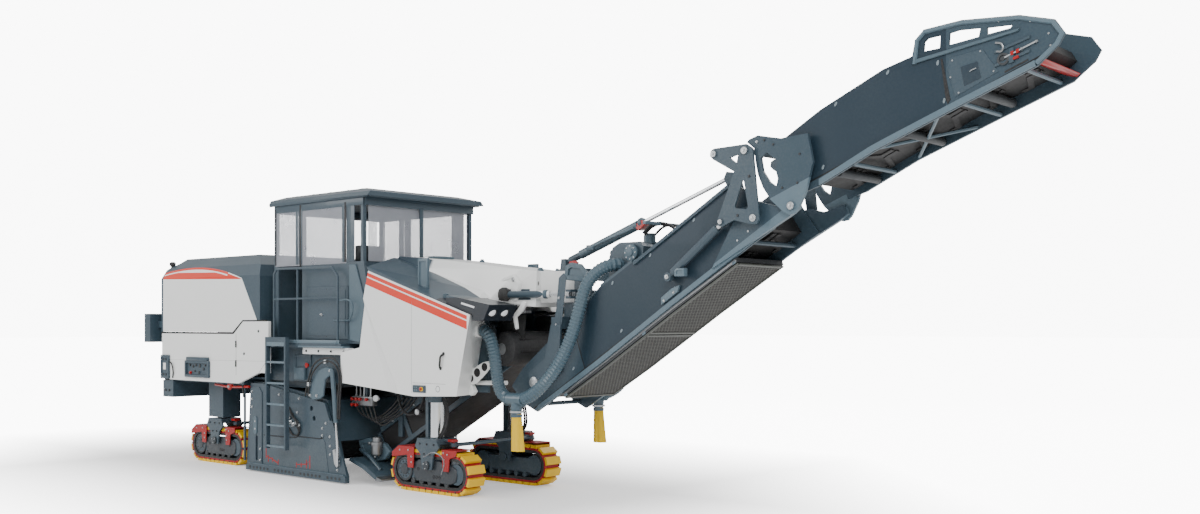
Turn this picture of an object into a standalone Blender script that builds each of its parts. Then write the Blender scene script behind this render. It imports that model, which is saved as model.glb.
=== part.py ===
# Cold planer milling machine: a tracked road milling machine with a folding discharge conveyor
# Metres, +Z up, +X towards the conveyor's tip, +Y the machine's left side, z = 0 the ground
# All x values in the tables below are counted from the front track axle

import math

import bmesh
import bpy
from mathutils import Vector

for old in list(bpy.data.objects):
    bpy.data.objects.remove(old, do_unlink=True)

# Overall places
FRONT_AXLE_X = -0.85
WHEELBASE = 5.62
REAR_AXLE = -WHEELBASE
TRACK_Y = 0.765
BODY_HALF_WIDTH = 1.25
SEAT_GAP = 0.0003
PIN_GAP = 0.001

# Tracks
TRACK_LENGTH = 1.73
TRACK_HEIGHT = 0.61
PAD_WIDTH = 0.30
PAD_COUNT = 26
PAD_HEIGHT = 0.055
CHAIN_DEPTH = 0.065
PAD_SPLIT = 0.010

# Crawler frames, forks and legs
SPROCKET_RADIUS = 0.150
ROLLER_RADIUS = 0.042
ROLLER_COUNT = 5
FORK_TOP = 0.78
FORK_PLATE = 0.025
FORK_CLEARANCE = 0.018
PENDULUM_PIN_Z = 0.40
FENDER_THICKNESS = 0.012
LEG_RADIUS = 0.10
LEG_INSERT = 0.45
TIE_ROD_X = 0.36
TIE_ROD_Z = 0.70
TIE_ROD_RADIUS = 0.028
TIE_PIN_RADIUS = 0.02

# Main body
FLOOR_Z = 1.42
DECK_THICKNESS = 0.06
PANEL_WALL = 0.05
HOOD_WALL = 0.04
HOOD_SEAM_Z = 2.26
HOOD_TOP_Z = 3.55
HOOD_REST = 2.465 - SEAT_GAP
REAR_FACE = -6.90
BAY_FRONT = -3.77
MIDDLE_FRONT = -1.68
MIDDLE_HALF_WIDTH = 1.02
MIDDLE_TOP = 2.04
CREASE_DEPTH = 0.045
FRONT_INNER_Y = TRACK_Y - 0.145

# Operator's platform and cabin
PLATFORM_TOP = 2.11
CABIN_REAR = -3.62
CABIN_FRONT = -1.26
CABIN_HALF_WIDTH = BODY_HALF_WIDTH - 0.17
CABIN_WALL = 0.04
SILL_Z = 3.34
ROOF_UNDERSIDE = 4.30
ROOF_THICKNESS = 0.15
POST_SIZE = 0.06
GLASS_THICKNESS = 0.008
GLASS_GAP = 0.004
RAIL_RADIUS = 0.02
LADDER_Y = BODY_HALF_WIDTH + 0.07
LADDER_DEPTH = 0.07
LADDER_PIVOT_Z = 2.08

# Milling unit
DRUM_X = -3.05
DRUM_Z = 0.66
DRUM_TIP_RADIUS = 0.51
DRUM_BODY_RADIUS = 0.425
TOOLS_A_SIDE = 16
TOOL_FLIGHT_TURNS = 1.6
TOOL_LEAN = 0.05
END_PLATE_Y = BODY_HALF_WIDTH - 0.22
DRUM_HALF_WIDTH = END_PLATE_Y - 0.03
END_PLATE_WALL = 0.04
HOUSING_TOP = 1.50
SIDE_PLATE_WALL = 0.05
SIDE_PLATE_GAP = 0.012
SIDE_PLATE_BOTTOM = 0.02
SCRAPER_X = -3.88
SCRAPER_PIVOT_Z = 1.25

# Conveyors
PRIMARY_HALF_WIDTH = FRONT_INNER_Y - 0.20
BOOM_HALF_WIDTH = 0.50
BOOM_WALL = 0.03
RAIL_DEPTH = 0.028
SLEW_X = 1.95
SLEW_PIN_RADIUS = 0.05
NOSE_LOW = 2.70
NOSE_HIGH = 3.13
LIFT_X = 1.75
LIFT_Z = 1.62
LIFT_PIN_RADIUS = 0.06
FOLD_X = 5.84
FOLD_Z = 3.73
FOLD_PIN_RADIUS = 0.05

SLOTS_A_PANEL = 10
SLOT_WIDTH = 0.06

# Fold mechanism: a rocker on each side, turned by a cylinder
ROCKER_X = 5.35
ROCKER_Z = 3.62
ROCKER_PIN_RADIUS = 0.045
ROCKER_Y = 0.62
ROCKER_PLATE = 0.025
ROCKER_TOP_X = 5.24
ROCKER_TOP_Z = 4.40
FOLD_BASE_X = 4.08
FOLD_BASE_Z = 2.98
FOLD_EYE_X = 4.90
FOLD_EYE_Z = 3.60
CYLINDER_RADIUS = 0.05
CYLINDER_ROD_RADIUS = 0.028
EYE_PIN_RADIUS = 0.025
EYE_RADIUS = 0.055
SUSPENSION_BASE_X = 1.81
SUSPENSION_BASE_Z = 3.25
SUSPENSION_END_X = 4.60
SUSPENSION_END_Z = 4.21
SUSPENSION_EYE = 0.035 + SEAT_GAP
SLEW_BASE = (1.17, 0.56, 2.81)
SLEW_EYE = (2.10, 0.22, 2.81)
SLEW_BARREL = 0.69
SLEW_BORE_START = 0.14
SLEW_ROD_START = 0.37
HOSE_RADIUS = 0.085
HOSE_Y = 0.82
SPIGOT_X = 1.00
SPIGOT_Z = 2.32
BRANCH_X = 1.60
BRANCH_Z = 1.40
FAN_HALF_WIDTH = 0.27
FAN_PORT_X = 3.02
FAN_PORT_Z = 3.17


def world(x, y, z):
    """A point whose x is counted from the front track axle, in the part's own frame."""
    return Vector((x + FRONT_AXLE_X, y, z))


def material(name, colour, roughness, metallic):
    """One plain finish."""
    made = bpy.data.materials.new(name)
    made.use_nodes = True
    shader = made.node_tree.nodes["Principled BSDF"]
    shader.inputs["Base Color"].default_value = (*colour, 1.0)
    shader.inputs["Roughness"].default_value = roughness
    shader.inputs["Metallic"].default_value = metallic
    return made


FINISHES = {
    # name: (colour, roughness, metallic)
    "slate_paint": ((0.055, 0.078, 0.105), 0.45, 0.0),
    "white_paint": ((0.72, 0.73, 0.72), 0.40, 0.0),
    "track_pads": ((0.72, 0.52, 0.02), 0.55, 0.0),
    "belt_rubber": ((0.02, 0.02, 0.02), 0.80, 0.0),
    "hose_grey": ((0.16, 0.24, 0.30), 0.50, 0.0),
    "bright_rod": ((0.60, 0.62, 0.65), 0.15, 1.0),
    "clear_glass": ((0.75, 0.78, 0.80), 0.05, 0.0),
    "seat_cover": ((0.03, 0.03, 0.03), 0.80, 0.0),
    "drum_steel": ((0.10, 0.11, 0.12), 0.50, 0.6),
    "guard_mesh": ((0.09, 0.09, 0.07), 0.60, 0.3),
}


def shape(vertices, faces):
    """A temporary closed solid from points and faces, its faces turned outwards."""
    mesh = bpy.data.meshes.new("shape")
    builder = bmesh.new()
    made = [builder.verts.new(point) for point in vertices]
    for face in faces:
        builder.faces.new([made[index] for index in face])
    bmesh.ops.recalc_face_normals(builder, faces=builder.faces)
    builder.to_mesh(mesh)
    builder.free()
    found = bpy.data.objects.new("shape", mesh)
    bpy.context.collection.objects.link(found)
    return found


def prism(outline, place, low, high):
    """An outline of two-value points pushed from low to high; place turns (a, b, depth) to a point."""
    count = len(outline)
    bottom = [place(a, b, low) for a, b in outline]
    top = [place(a, b, high) for a, b in outline]
    sides = [(i, (i + 1) % count, (i + 1) % count + count, i + count) for i in range(count)]
    caps = [tuple(range(count)), tuple(range(count, 2 * count))]
    return shape(bottom + top, sides + caps)


def side_plate(outline, low_y, high_y):
    """A plate that stands along the machine: its outline is in x and z."""
    return prism(outline, lambda a, b, depth: world(a, depth, b), low_y, high_y)


def cross_plate(outline, low_x, high_x):
    """A plate that stands across the machine: its outline is in y and z."""
    return prism(outline, lambda a, b, depth: world(depth, a, b), low_x, high_x)


def flat_plate(outline, low_z, high_z):
    """A level plate: its outline is in x and y."""
    return prism(outline, lambda a, b, depth: world(a, b, depth), low_z, high_z)


def box(low_x, high_x, low_y, high_y, low_z, high_z):
    """A plain block between two corners."""
    corners = [(low_x, low_y), (high_x, low_y), (high_x, high_y), (low_x, high_y)]
    return flat_plate(corners, low_z, high_z)


def hull(points):
    """The smallest convex solid round some points."""
    mesh = bpy.data.meshes.new("shape")
    builder = bmesh.new()
    for point in points:
        builder.verts.new(world(*point))
    bmesh.ops.convex_hull(builder, input=builder.verts)
    loose = [vert for vert in builder.verts if not vert.link_faces]
    bmesh.ops.delete(builder, geom=loose, context="VERTS")
    bmesh.ops.recalc_face_normals(builder, faces=builder.faces)
    builder.to_mesh(mesh)
    builder.free()
    found = bpy.data.objects.new("shape", mesh)
    bpy.context.collection.objects.link(found)
    return found


def pipe(points, radius, sides=8):
    """A round bar along straight runs, mitred at its corners."""
    path = [world(*point) for point in points]
    rings = []
    start_dir = (path[1] - path[0]).normalized()
    helper = Vector((0, 0, 1)) if abs(start_dir.z) < 0.9 else Vector((1, 0, 0))
    across = start_dir.cross(helper).normalized()
    for index, point in enumerate(path):
        before = (point - path[index - 1]).normalized() if index else start_dir
        after = (path[index + 1] - point).normalized() if index + 1 < len(path) else before
        tangent = (before + after).normalized()
        across = (across - before * across.dot(before)).normalized()
        up = before.cross(across)
        ring = []
        for step in range(sides):
            angle = 2 * math.pi * (step + 0.5) / sides
            offset = across * math.cos(angle) * radius + up * math.sin(angle) * radius
            along = -offset.dot(tangent) / tangent.dot(before)
            ring.append(point + offset + before * along)
        rings.append(ring)
        across = (across - after * across.dot(after)).normalized()
    vertices = [vert for ring in rings for vert in ring]
    faces = []
    for ring in range(len(rings) - 1):
        first = ring * sides
        for step in range(sides):
            after = (step + 1) % sides
            faces.append((first + step, first + after, first + sides + after, first + sides + step))
    faces.append(tuple(range(sides)))
    faces.append(tuple(range(len(vertices) - sides, len(vertices))))
    return shape(vertices, faces)


def rod(start, end, radius, sides=16):
    """A straight round bar."""
    return pipe([start, end], radius, sides)


def axle(x, z, low_y, high_y, radius, sides=24):
    """A round bar across the machine."""
    return rod((x, low_y, z), (x, high_y, z), radius, sides)


def combine(base, others, operation):
    """Joins or cuts one solid with a list of others, which are then removed."""
    if not others:
        return base
    group = bpy.data.collections.new("operands")
    bpy.context.scene.collection.children.link(group)
    for other in others:
        group.objects.link(other)
    step = base.modifiers.new("combine", "BOOLEAN")
    step.operation = operation
    step.solver = "EXACT"
    step.operand_type = "COLLECTION"
    step.collection = group
    graph = bpy.context.evaluated_depsgraph_get()
    made = bpy.data.meshes.new_from_object(base.evaluated_get(graph))
    base.modifiers.clear()
    old = base.data
    base.data = made
    bpy.data.meshes.remove(old)
    for other in others:
        bpy.data.objects.remove(other, do_unlink=True)
    bpy.data.collections.remove(group)
    return base


def union(parts):
    """One solid from solids that overlap."""
    return combine(parts[0], parts[1:], "UNION")


def cut(base, cutters):
    """One solid less some cutters."""
    return combine(base, cutters, "DIFFERENCE")


def finish(name, solid, finish_name, pivot=None, smooth=False):
    """Names a finished solid, sets its material and puts its origin on its pivot."""
    solid.name = name
    solid.data.name = name
    solid.data.materials.clear()
    solid.data.materials.append(MATERIALS[finish_name])
    if pivot is not None:
        centre = world(*pivot)
        for vertex in solid.data.vertices:
            vertex.co -= centre
        solid.location = centre
    if smooth:
        solid.data.shade_smooth()
        solid.data.set_sharp_from_angle(angle=math.radians(35))
    return solid


MATERIALS = {name: material(name, *values) for name, values in FINISHES.items()}


def chain_pins():
    """The chain's pins round one track, counted from the track's own centre."""
    pin_radius = TRACK_HEIGHT / 2 - PAD_HEIGHT - CHAIN_DEPTH / 2
    half = TRACK_LENGTH / 2 - TRACK_HEIGHT / 2
    straight = 2 * half
    bend = math.pi * pin_radius
    whole = 2 * (straight + bend)
    pins = []
    for index in range(PAD_COUNT):
        run = whole * (index + 0.5) / PAD_COUNT
        if run < straight:
            pins.append((-half + run, -pin_radius))
        elif run < straight + bend:
            turn = (run - straight) / pin_radius - math.pi / 2
            pins.append((half + pin_radius * math.cos(turn), pin_radius * math.sin(turn)))
        elif run < 2 * straight + bend:
            pins.append((half - (run - straight - bend), pin_radius))
        else:
            turn = (run - 2 * straight - bend) / pin_radius + math.pi / 2
            pins.append((-half + pin_radius * math.cos(turn), pin_radius * math.sin(turn)))
    return pins


def track_loop(axle_x, side):
    """One track: chain links with a raised pad on each."""
    pins = chain_pins()
    middle = TRACK_HEIGHT / 2
    outer = []
    inner = []
    for index, pin in enumerate(pins):
        after = pins[(index + 1) % PAD_COUNT]
        step = Vector((after[0] - pin[0], after[1] - pin[1]))
        along = step.normalized()
        out = Vector((along.y, -along.x))
        base = CHAIN_DEPTH / 2
        tip = base + PAD_HEIGHT
        start = Vector(pin) + along * PAD_SPLIT
        end = Vector(after) - along * PAD_SPLIT
        for point, height in ((start, base), (start, tip), (end, tip), (end, base)):
            outer.append(point + out * height)
        before = pins[index - 1]
        bisector = (Vector(after) - Vector(before)).normalized()
        inner.append(Vector(pin) - Vector((bisector.y, -bisector.x)) * CHAIN_DEPTH / 2)
    outer = [(axle_x + point.x, middle + point.y) for point in outer]
    inner = [(axle_x + point.x, middle + point.y) for point in inner]
    low_y = side * TRACK_Y - PAD_WIDTH / 2
    high_y = side * TRACK_Y + PAD_WIDTH / 2
    loop = side_plate(outer, low_y, high_y)
    return cut(loop, [side_plate(inner, low_y - 0.01, high_y + 0.01)])


def crawler(axle_x, side, open_leg):
    """One crawler: leg, fork, roller frame, sprocket, idler, rollers and two fenders, in one solid."""
    centre_y = side * TRACK_Y
    half_pad = PAD_WIDTH / 2
    middle = TRACK_HEIGHT / 2
    wheel_x = TRACK_LENGTH / 2 - TRACK_HEIGHT / 2
    core_half = half_pad - 0.03
    fork_inner = half_pad + FORK_CLEARANCE
    fork_outer = fork_inner + FORK_PLATE
    parts = [box(axle_x - 0.42, axle_x + 0.50, centre_y - core_half, centre_y + core_half, 0.19, 0.40)]
    for end in (-1, 1):
        parts.append(axle(axle_x + end * wheel_x, middle, centre_y - core_half - 0.01,
                          centre_y + core_half + 0.01, SPROCKET_RADIUS, 12))
        link = box(axle_x + end * 0.30, axle_x + end * wheel_x, centre_y - 0.06, centre_y + 0.06, 0.25, 0.36)
        parts.append(link)
    roller_z = PAD_HEIGHT + CHAIN_DEPTH + SEAT_GAP + ROLLER_RADIUS * math.cos(math.pi / 8)
    for index in range(ROLLER_COUNT):
        roller_x = axle_x - 0.36 + 0.72 * index / (ROLLER_COUNT - 1)
        parts.append(axle(roller_x, roller_z, centre_y - core_half - 0.015, centre_y + core_half + 0.015,
                          ROLLER_RADIUS, 8))
    parts.append(axle(axle_x, PENDULUM_PIN_Z, centre_y - fork_outer - 0.02, centre_y + fork_outer + 0.02, 0.05, 10))
    fork_outline = [(axle_x - 0.10, 0.34), (axle_x + 0.10, 0.34), (axle_x + 0.14, 0.55), (axle_x + 0.26, 0.66),
                    (axle_x + 0.20, FORK_TOP), (axle_x - 0.20, FORK_TOP), (axle_x - 0.26, 0.66),
                    (axle_x - 0.14, 0.55)]
    for end in (-1, 1):
        near = centre_y + end * fork_inner
        far = centre_y + end * fork_outer
        parts.append(side_plate(fork_outline, min(near, far), max(near, far)))
    parts.append(box(axle_x - 0.215, axle_x + 0.215, centre_y - fork_outer + 0.002, centre_y + fork_outer - 0.002,
                     0.70, FORK_TOP - 0.004))
    leg_top = FLOOR_Z + LEG_INSERT
    parts.append(rod((axle_x, centre_y, FORK_TOP - 0.03), (axle_x, centre_y, leg_top), LEG_RADIUS, 16))
    # Fenders: a bent cover over the pads and a flange outside them, held by the roller frame
    cover_z = TRACK_HEIGHT + 0.02
    out_y = centre_y + side * (half_pad + 0.012)
    out_edge = out_y + side * FENDER_THICKNESS
    in_y = centre_y - side * (half_pad - 0.02)
    for end, start_x, end_x in ((-1, 0.30, 0.80), (1, 0.30, 0.60)):
        first = axle_x + end * start_x
        last = axle_x + end * end_x
        drop = 0.10 if end < 0 else 0.0
        bend_x = axle_x + end * (end_x - 0.15)
        cover = [(first, cover_z), (bend_x, cover_z), (last, cover_z - drop),
                 (last, cover_z - drop + FENDER_THICKNESS), (bend_x, cover_z + FENDER_THICKNESS),
                 (first, cover_z + FENDER_THICKNESS)]
        parts.append(side_plate(cover, min(in_y, out_edge), max(in_y, out_edge)))
        flange = [(first, cover_z + 0.006), (bend_x, cover_z + 0.006), (last, cover_z - drop + 0.006),
                  (last, cover_z - drop - 0.06), (axle_x + end * (start_x + 0.16), 0.52),
                  (axle_x + end * (start_x + 0.14), 0.34), (axle_x + end * (start_x + 0.02), 0.34)]
        parts.append(side_plate(flange, min(out_y, out_edge), max(out_y, out_edge)))
        near = centre_y + side * (core_half - 0.02)
        parts.append(box(axle_x + end * (start_x + 0.08) - 0.04, axle_x + end * (start_x + 0.08) + 0.04,
                         min(near, out_edge - side * 0.004), max(near, out_edge - side * 0.004), 0.35, 0.39))
    if open_leg:
        parts.append(rod((axle_x, centre_y, 1.29), (axle_x, centre_y, 1.375), LEG_RADIUS + 0.03, 12))
        parts.append(box(axle_x - 0.17, axle_x - 0.11, centre_y - 0.07, centre_y + 0.07, FORK_TOP - 0.01, 1.372))
        parts.append(box(axle_x - 0.12, axle_x - 0.02, centre_y - 0.05, centre_y + 0.05, FORK_TOP - 0.008, 0.84))
        parts.append(box(axle_x - 0.12, axle_x - 0.02, centre_y - 0.05, centre_y + 0.05, 1.30, 1.37))
    # Steering arm ahead of the leg, with the tie rod's pin below it
    arm_low = TIE_ROD_Z + TIE_ROD_RADIUS + 0.016
    pin_x = axle_x + TIE_ROD_X
    parts.append(box(axle_x + 0.16, pin_x + 0.04, centre_y - 0.05, centre_y + 0.05, arm_low, FORK_TOP - 0.002))
    parts.append(rod((pin_x, centre_y, TIE_ROD_Z - TIE_ROD_RADIUS - 0.01), (pin_x, centre_y, arm_low + 0.01),
                     TIE_PIN_RADIUS, 12))
    return union(parts)


def tie_rod(axle_x):
    """The link between the steering arms of one axle, with an eye round each arm's pin."""
    pin_x = axle_x + TIE_ROD_X
    parts = [axle(pin_x, TIE_ROD_Z, -TRACK_Y + 0.03, TRACK_Y - 0.03, TIE_ROD_RADIUS, 8)]
    for end in (-1, 1):
        parts.append(rod((pin_x, end * TRACK_Y, TIE_ROD_Z - 0.026),
                         (pin_x, end * TRACK_Y, TIE_ROD_Z + 0.026), 0.045, 12))
    bar = union(parts)
    holes = [rod((pin_x, end * TRACK_Y, TIE_ROD_Z - 0.1), (pin_x, end * TRACK_Y, TIE_ROD_Z + 0.1),
                 TIE_PIN_RADIUS + PIN_GAP, 12) for end in (-1, 1)]
    return cut(bar, holes)


AXLES = (
    # name, x, whether its legs stand open below the body
    ("front", 0.0, True),
    ("rear", REAR_AXLE, False),
)
SIDES = (("right", -1), ("left", 1))


def make_running_gear():
    for axle_name, axle_x, open_leg in AXLES:
        for side_name, side in SIDES:
            pivot = (axle_x, side * TRACK_Y, 0.0)
            finish("track_" + axle_name + "_" + side_name, track_loop(axle_x, side), "track_pads", pivot)
            finish("crawler_" + axle_name + "_" + side_name, crawler(axle_x, side, open_leg), "slate_paint", pivot)
        finish("tie_rod_" + axle_name, tie_rod(axle_x), "slate_paint",
               (axle_x + TIE_ROD_X, -TRACK_Y, TIE_ROD_Z))


def front_frame_parts():
    """The front of the frame, between the tanks, with the seats of the loading conveyor."""
    inner = FRONT_INNER_Y - SEAT_GAP
    wall = [(MIDDLE_FRONT - 0.05, 1.52), (-1.60, 1.45), (0.90, 1.45), (0.90, 2.60), (-0.85, 2.60), (-1.08, 2.02),
            (MIDDLE_FRONT - 0.05, 2.02)]
    seat = PRIMARY_HALF_WIDTH + SEAT_GAP
    parts = [box(-0.35, 0.10, -inner + 0.01, inner - 0.01, 2.35, 2.58)]
    for side_name, side in SIDES:
        near, far = side * (inner - 0.05), side * inner
        parts.append(side_plate(wall, min(near, far), max(near, far)))
        near, far = side * seat, side * (inner - 0.03)
        parts.append(box(0.20, 0.40, min(near, far), max(near, far), 1.50, 1.64))
        parts.append(box(-1.25, -1.15, min(near, far), max(near, far), 1.47, 1.56))
        far = side * (seat + 0.04)
        parts.append(box(-1.249, -1.151, min(near, far), max(near, far), 0.70, 1.50))
    return parts


def make_chassis():
    """Rear beam, leg guides, engine bay tub, closed middle frame and front frame, in one welded solid."""
    guide_half = 0.23
    guide_depth = 0.17
    bore = LEG_RADIUS + PIN_GAP
    inner = BODY_HALF_WIDTH - PANEL_WALL - SEAT_GAP
    step_x = -4.32
    slim = END_PLATE_Y + 0.03
    bulkhead = [(-slim, HOUSING_TOP + 0.001), (slim, HOUSING_TOP + 0.001), (slim, 1.82), (inner, 1.82),
                (inner, HOOD_REST), (-inner, HOOD_REST), (-inner, 1.82), (-slim, 1.82)]
    deck_top = FLOOR_Z + DECK_THICKNESS
    seam = HOOD_SEAM_Z - 0.01
    parts = [
        box(REAR_FACE + 0.06, -6.49, -BODY_HALF_WIDTH, BODY_HALF_WIDTH, 1.12, FLOOR_Z - 0.005),
        box(REAR_FACE + 0.02, step_x, -inner, inner, FLOOR_Z - 0.01, deck_top),
        box(step_x - 0.06, step_x + 0.002, -inner + 0.002, inner - 0.002, FLOOR_Z, HOUSING_TOP + 0.05),
        box(step_x - 0.05, BAY_FRONT - 0.01, -slim, slim, HOUSING_TOP, HOUSING_TOP + 0.04),
        cross_plate(bulkhead, BAY_FRONT - 0.06, BAY_FRONT),
        box(REAR_FACE, REAR_FACE + 0.05, -inner + 0.001, inner - 0.001, 1.44, seam),
        box(BAY_FRONT - 0.03, MIDDLE_FRONT, -MIDDLE_HALF_WIDTH, MIDDLE_HALF_WIDTH, HOUSING_TOP + 0.002,
            MIDDLE_TOP),
    ]
    guide_top = deck_top + 0.40
    cutters = []
    for side_name, side in SIDES:
        centre = side * TRACK_Y
        parts.append(box(REAR_AXLE - guide_half, REAR_AXLE + guide_half, centre - guide_depth,
                         centre + guide_depth, FORK_TOP + 0.02, guide_top))
        cutters.append(rod((REAR_AXLE, centre, 0.5), (REAR_AXLE, centre, guide_top + 0.1), bore, 24))
    return cut(union(parts + front_frame_parts()), cutters)


HOOD_OUTLINE = [
    # x, z round the hood's side, from its hinge
    (REAR_FACE, HOOD_SEAM_Z + 0.01), (REAR_FACE, 3.22), (-6.84, 3.36), (-6.56, 3.48), (-6.45, HOOD_TOP_Z),
    (-4.16, HOOD_TOP_Z), (-3.86, 3.37), (BAY_FRONT, 3.18), (BAY_FRONT, 2.465), (-4.265, 2.465),
    (-4.56, HOOD_SEAM_Z + 0.01),
]
HOOD_CAVITY = [
    (REAR_FACE + HOOD_WALL, HOOD_SEAM_Z - 0.2), (REAR_FACE + HOOD_WALL, 3.20), (-6.80, 3.33),
    (-6.55, 3.44), (-6.43, HOOD_TOP_Z - HOOD_WALL), (-4.18, HOOD_TOP_Z - HOOD_WALL), (-3.90, 3.34),
    (BAY_FRONT - HOOD_WALL, 3.16), (BAY_FRONT - HOOD_WALL, HOOD_SEAM_Z - 0.2),
]


def hood_section(half, top, wall):
    """Half widths and heights across the hood."""
    return [(-half, 1.5), (half, 1.5), (half, 3.20 - wall / 2), (half - 0.08, 3.38 - wall), (half - 0.25, top),
            (-half + 0.25, top), (-half + 0.08, 3.38 - wall), (-half, 3.20 - wall / 2)]


def make_hood():
    wide = BODY_HALF_WIDTH
    outer = side_plate(HOOD_OUTLINE, -wide - 0.1, wide + 0.1)
    outer = combine(outer, [cross_plate(hood_section(wide, HOOD_TOP_Z, 0.0), REAR_FACE - 0.5, 0.0)], "INTERSECT")
    inner_wide = wide - HOOD_WALL
    inner = side_plate(HOOD_CAVITY, -inner_wide - 0.1, inner_wide + 0.1)
    section = hood_section(inner_wide, HOOD_TOP_Z - HOOD_WALL, 0.01)
    inner = combine(inner, [cross_plate(section, REAR_FACE - 0.5, 0.0)], "INTERSECT")
    shell = cut(outer, [inner])
    extras = [shell]
    for side_name, side in SIDES:
        near, far = side * (BODY_HALF_WIDTH - 0.16), side * (BODY_HALF_WIDTH + 0.12)
        extras.append(box(-7.28, -7.08, min(near, far), max(near, far), 2.08, 2.59))
        near, far = side * (BODY_HALF_WIDTH - 0.10), side * (BODY_HALF_WIDTH - 0.03)
        extras.append(box(-7.10, REAR_FACE + 0.02, min(near, far), max(near, far), 2.34, 2.46))
    finish("engine_hood", union(extras), "slate_paint", (REAR_FACE, 0.0, HOOD_SEAM_Z - 0.01))


REAR_PANEL = [
    # x, z round one lower side panel
    (REAR_FACE + 0.02, 1.50), (-6.60, FLOOR_Z + 0.01), (-4.40, FLOOR_Z + 0.01), (-3.80, 1.62), (-3.53, 1.62),
    (-3.53, 2.45), (-4.26, 2.45), (-4.55, HOOD_SEAM_Z - 0.01), (REAR_FACE + 0.02, HOOD_SEAM_Z - 0.01),
]


def make_rear_body():
    inner = BODY_HALF_WIDTH - PANEL_WALL
    floor = FLOOR_Z + DECK_THICKNESS + SEAT_GAP
    for side_name, side in SIDES:
        near, far = side * inner, side * BODY_HALF_WIDTH
        finish("rear_panel_" + side_name, side_plate(REAR_PANEL, min(near, far), max(near, far)), "white_paint")
    finish("engine_block", box(-6.30, -4.50, -0.50, 0.50, floor, 3.05), "drum_steel")


def front_side(side):
    """One closed tank side of the front body, its front face swept back, with the leg's bore and a spigot."""
    rear = MIDDLE_FRONT + SEAT_GAP
    rim = [(-0.96, 3.18), (-1.10, 2.70), (-1.22, 2.06), (rear, 1.98), (rear, 1.53), (0.05, 1.395)]
    outer = rim + [(0.96, 1.43), (1.23, 2.53)]
    inner = rim + [(0.61, 1.4165), (0.88, 2.6339)]
    count = len(outer)
    points = [world(x, side * BODY_HALF_WIDTH, z) for x, z in outer]
    points += [world(x, side * FRONT_INNER_Y, z) for x, z in inner]
    faces = [(i, (i + 1) % count, (i + 1) % count + count, i + count) for i in range(count)]
    faces += [tuple(range(count)), tuple(range(count, 2 * count))]
    spigot = rod((0.80, side * HOSE_Y, SPIGOT_Z), (SPIGOT_X, side * HOSE_Y, SPIGOT_Z), HOSE_RADIUS + 0.01, 16)
    bore = rod((0.0, side * TRACK_Y, 1.2), (0.0, side * TRACK_Y, FLOOR_Z + LEG_INSERT + 0.02),
               LEG_RADIUS + PIN_GAP, 24)
    crease = [(-1.09, 2.80, 1), (-0.24, 1.38, 1), (rear - 0.05, 1.38, 1), (rear - 0.05, 2.10, 1), (-1.27, 2.10, 1),
              (-1.10, 2.68, 0), (-0.50, 1.38, 0), (rear - 0.05, 1.38, 0), (rear - 0.05, 2.05, 0), (-1.25, 2.10, 0)]
    step = hull([(x, side * (BODY_HALF_WIDTH + 0.001 if proud else BODY_HALF_WIDTH - CREASE_DEPTH), z)
                 for x, z, proud in crease])
    return cut(union([shape(points, faces), spigot]), [bore, step])


def make_front_body():
    for side_name, side in SIDES:
        finish("front_tank_" + side_name, front_side(side), "white_paint")
    gap = SEAT_GAP
    parts = []
    for side_name, side in SIDES:
        wide = side * (BODY_HALF_WIDTH - 0.002)
        low = [(-0.96, 3.18 + gap), (1.23, 2.53 + gap)]
        deck = [(x, wide, z) for x, z in low] + [(x, side * 0.40, z) for x, z in low]
        deck += [(-1.20, side * 0.60, 3.40), (0.78, side * 0.60, 2.86), (-1.20, side * 0.40, 3.40),
                 (0.78, side * 0.40, 2.86), (-1.0, wide, 3.24), (-1.0, side * 0.4, 3.20)]
        parts.append(hull(deck))
        near, far = side * (BODY_HALF_WIDTH - 0.55), side * (BODY_HALF_WIDTH - 0.03)
        lamp = [(1.24, 2.45), (1.24, 2.534), (0.72, 2.688), (0.72, 2.80), (1.58, 2.66), (1.46, 2.45)]
        parts.append(side_plate(lamp, min(near, far), max(near, far)))
    hump = []
    for side_name, side in SIDES:
        hump += [(-1.18, side * 0.50, 3.43), (-0.37, side * 0.45, 3.36), (1.35, side * 0.42, 3.16),
                 (1.60, side * 0.36, 3.13), (-1.18, side * 0.60, 3.25), (0.90, side * 0.60, 2.75),
                 (1.60, side * 0.38, 2.64), (-1.18, side * 0.5, 3.10), (0.9, side * 0.5, 2.66)]
    parts.append(hull(hump))
    knuckle = []
    for side in (-1, 1):
        knuckle += [(1.50, side * 0.34, z) for z in (NOSE_LOW, NOSE_HIGH)]
        knuckle += [(SLEW_X, side * 0.09, z) for z in (NOSE_LOW, NOSE_HIGH)]
        knuckle += [(SLEW_X + 0.08, side * 0.04, z) for z in (NOSE_LOW, NOSE_HIGH)]
    parts.append(hull(knuckle))
    bores = [rod((SLEW_X, 0.0, 2.5), (SLEW_X, 0.0, 3.3), SLEW_PIN_RADIUS + PIN_GAP, 24)]
    for side_name, side in SIDES:
        base, end = slew_ends(side)
        parts.append(rod(along(base, end, 0.06), along(base, end, SLEW_BARREL), CYLINDER_RADIUS, 12))
        parts.append(rod((base[0], base[1], base[2] - 0.05), (base[0], base[1], base[2] + 0.05), 0.07, 12))
        near, far = side * 0.30, base[1]
        parts.append(box(base[0] - 0.06, base[0] + 0.06, min(near, far), max(near, far), base[2] - 0.045,
                         base[2] + 0.045))
        bores.append(rod(along(base, end, SLEW_BORE_START), along(base, end, SLEW_BARREL + 0.1),
                         CYLINDER_ROD_RADIUS + PIN_GAP, 12))
    finish("front_cover", cut(union(parts), bores), "white_paint")


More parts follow.
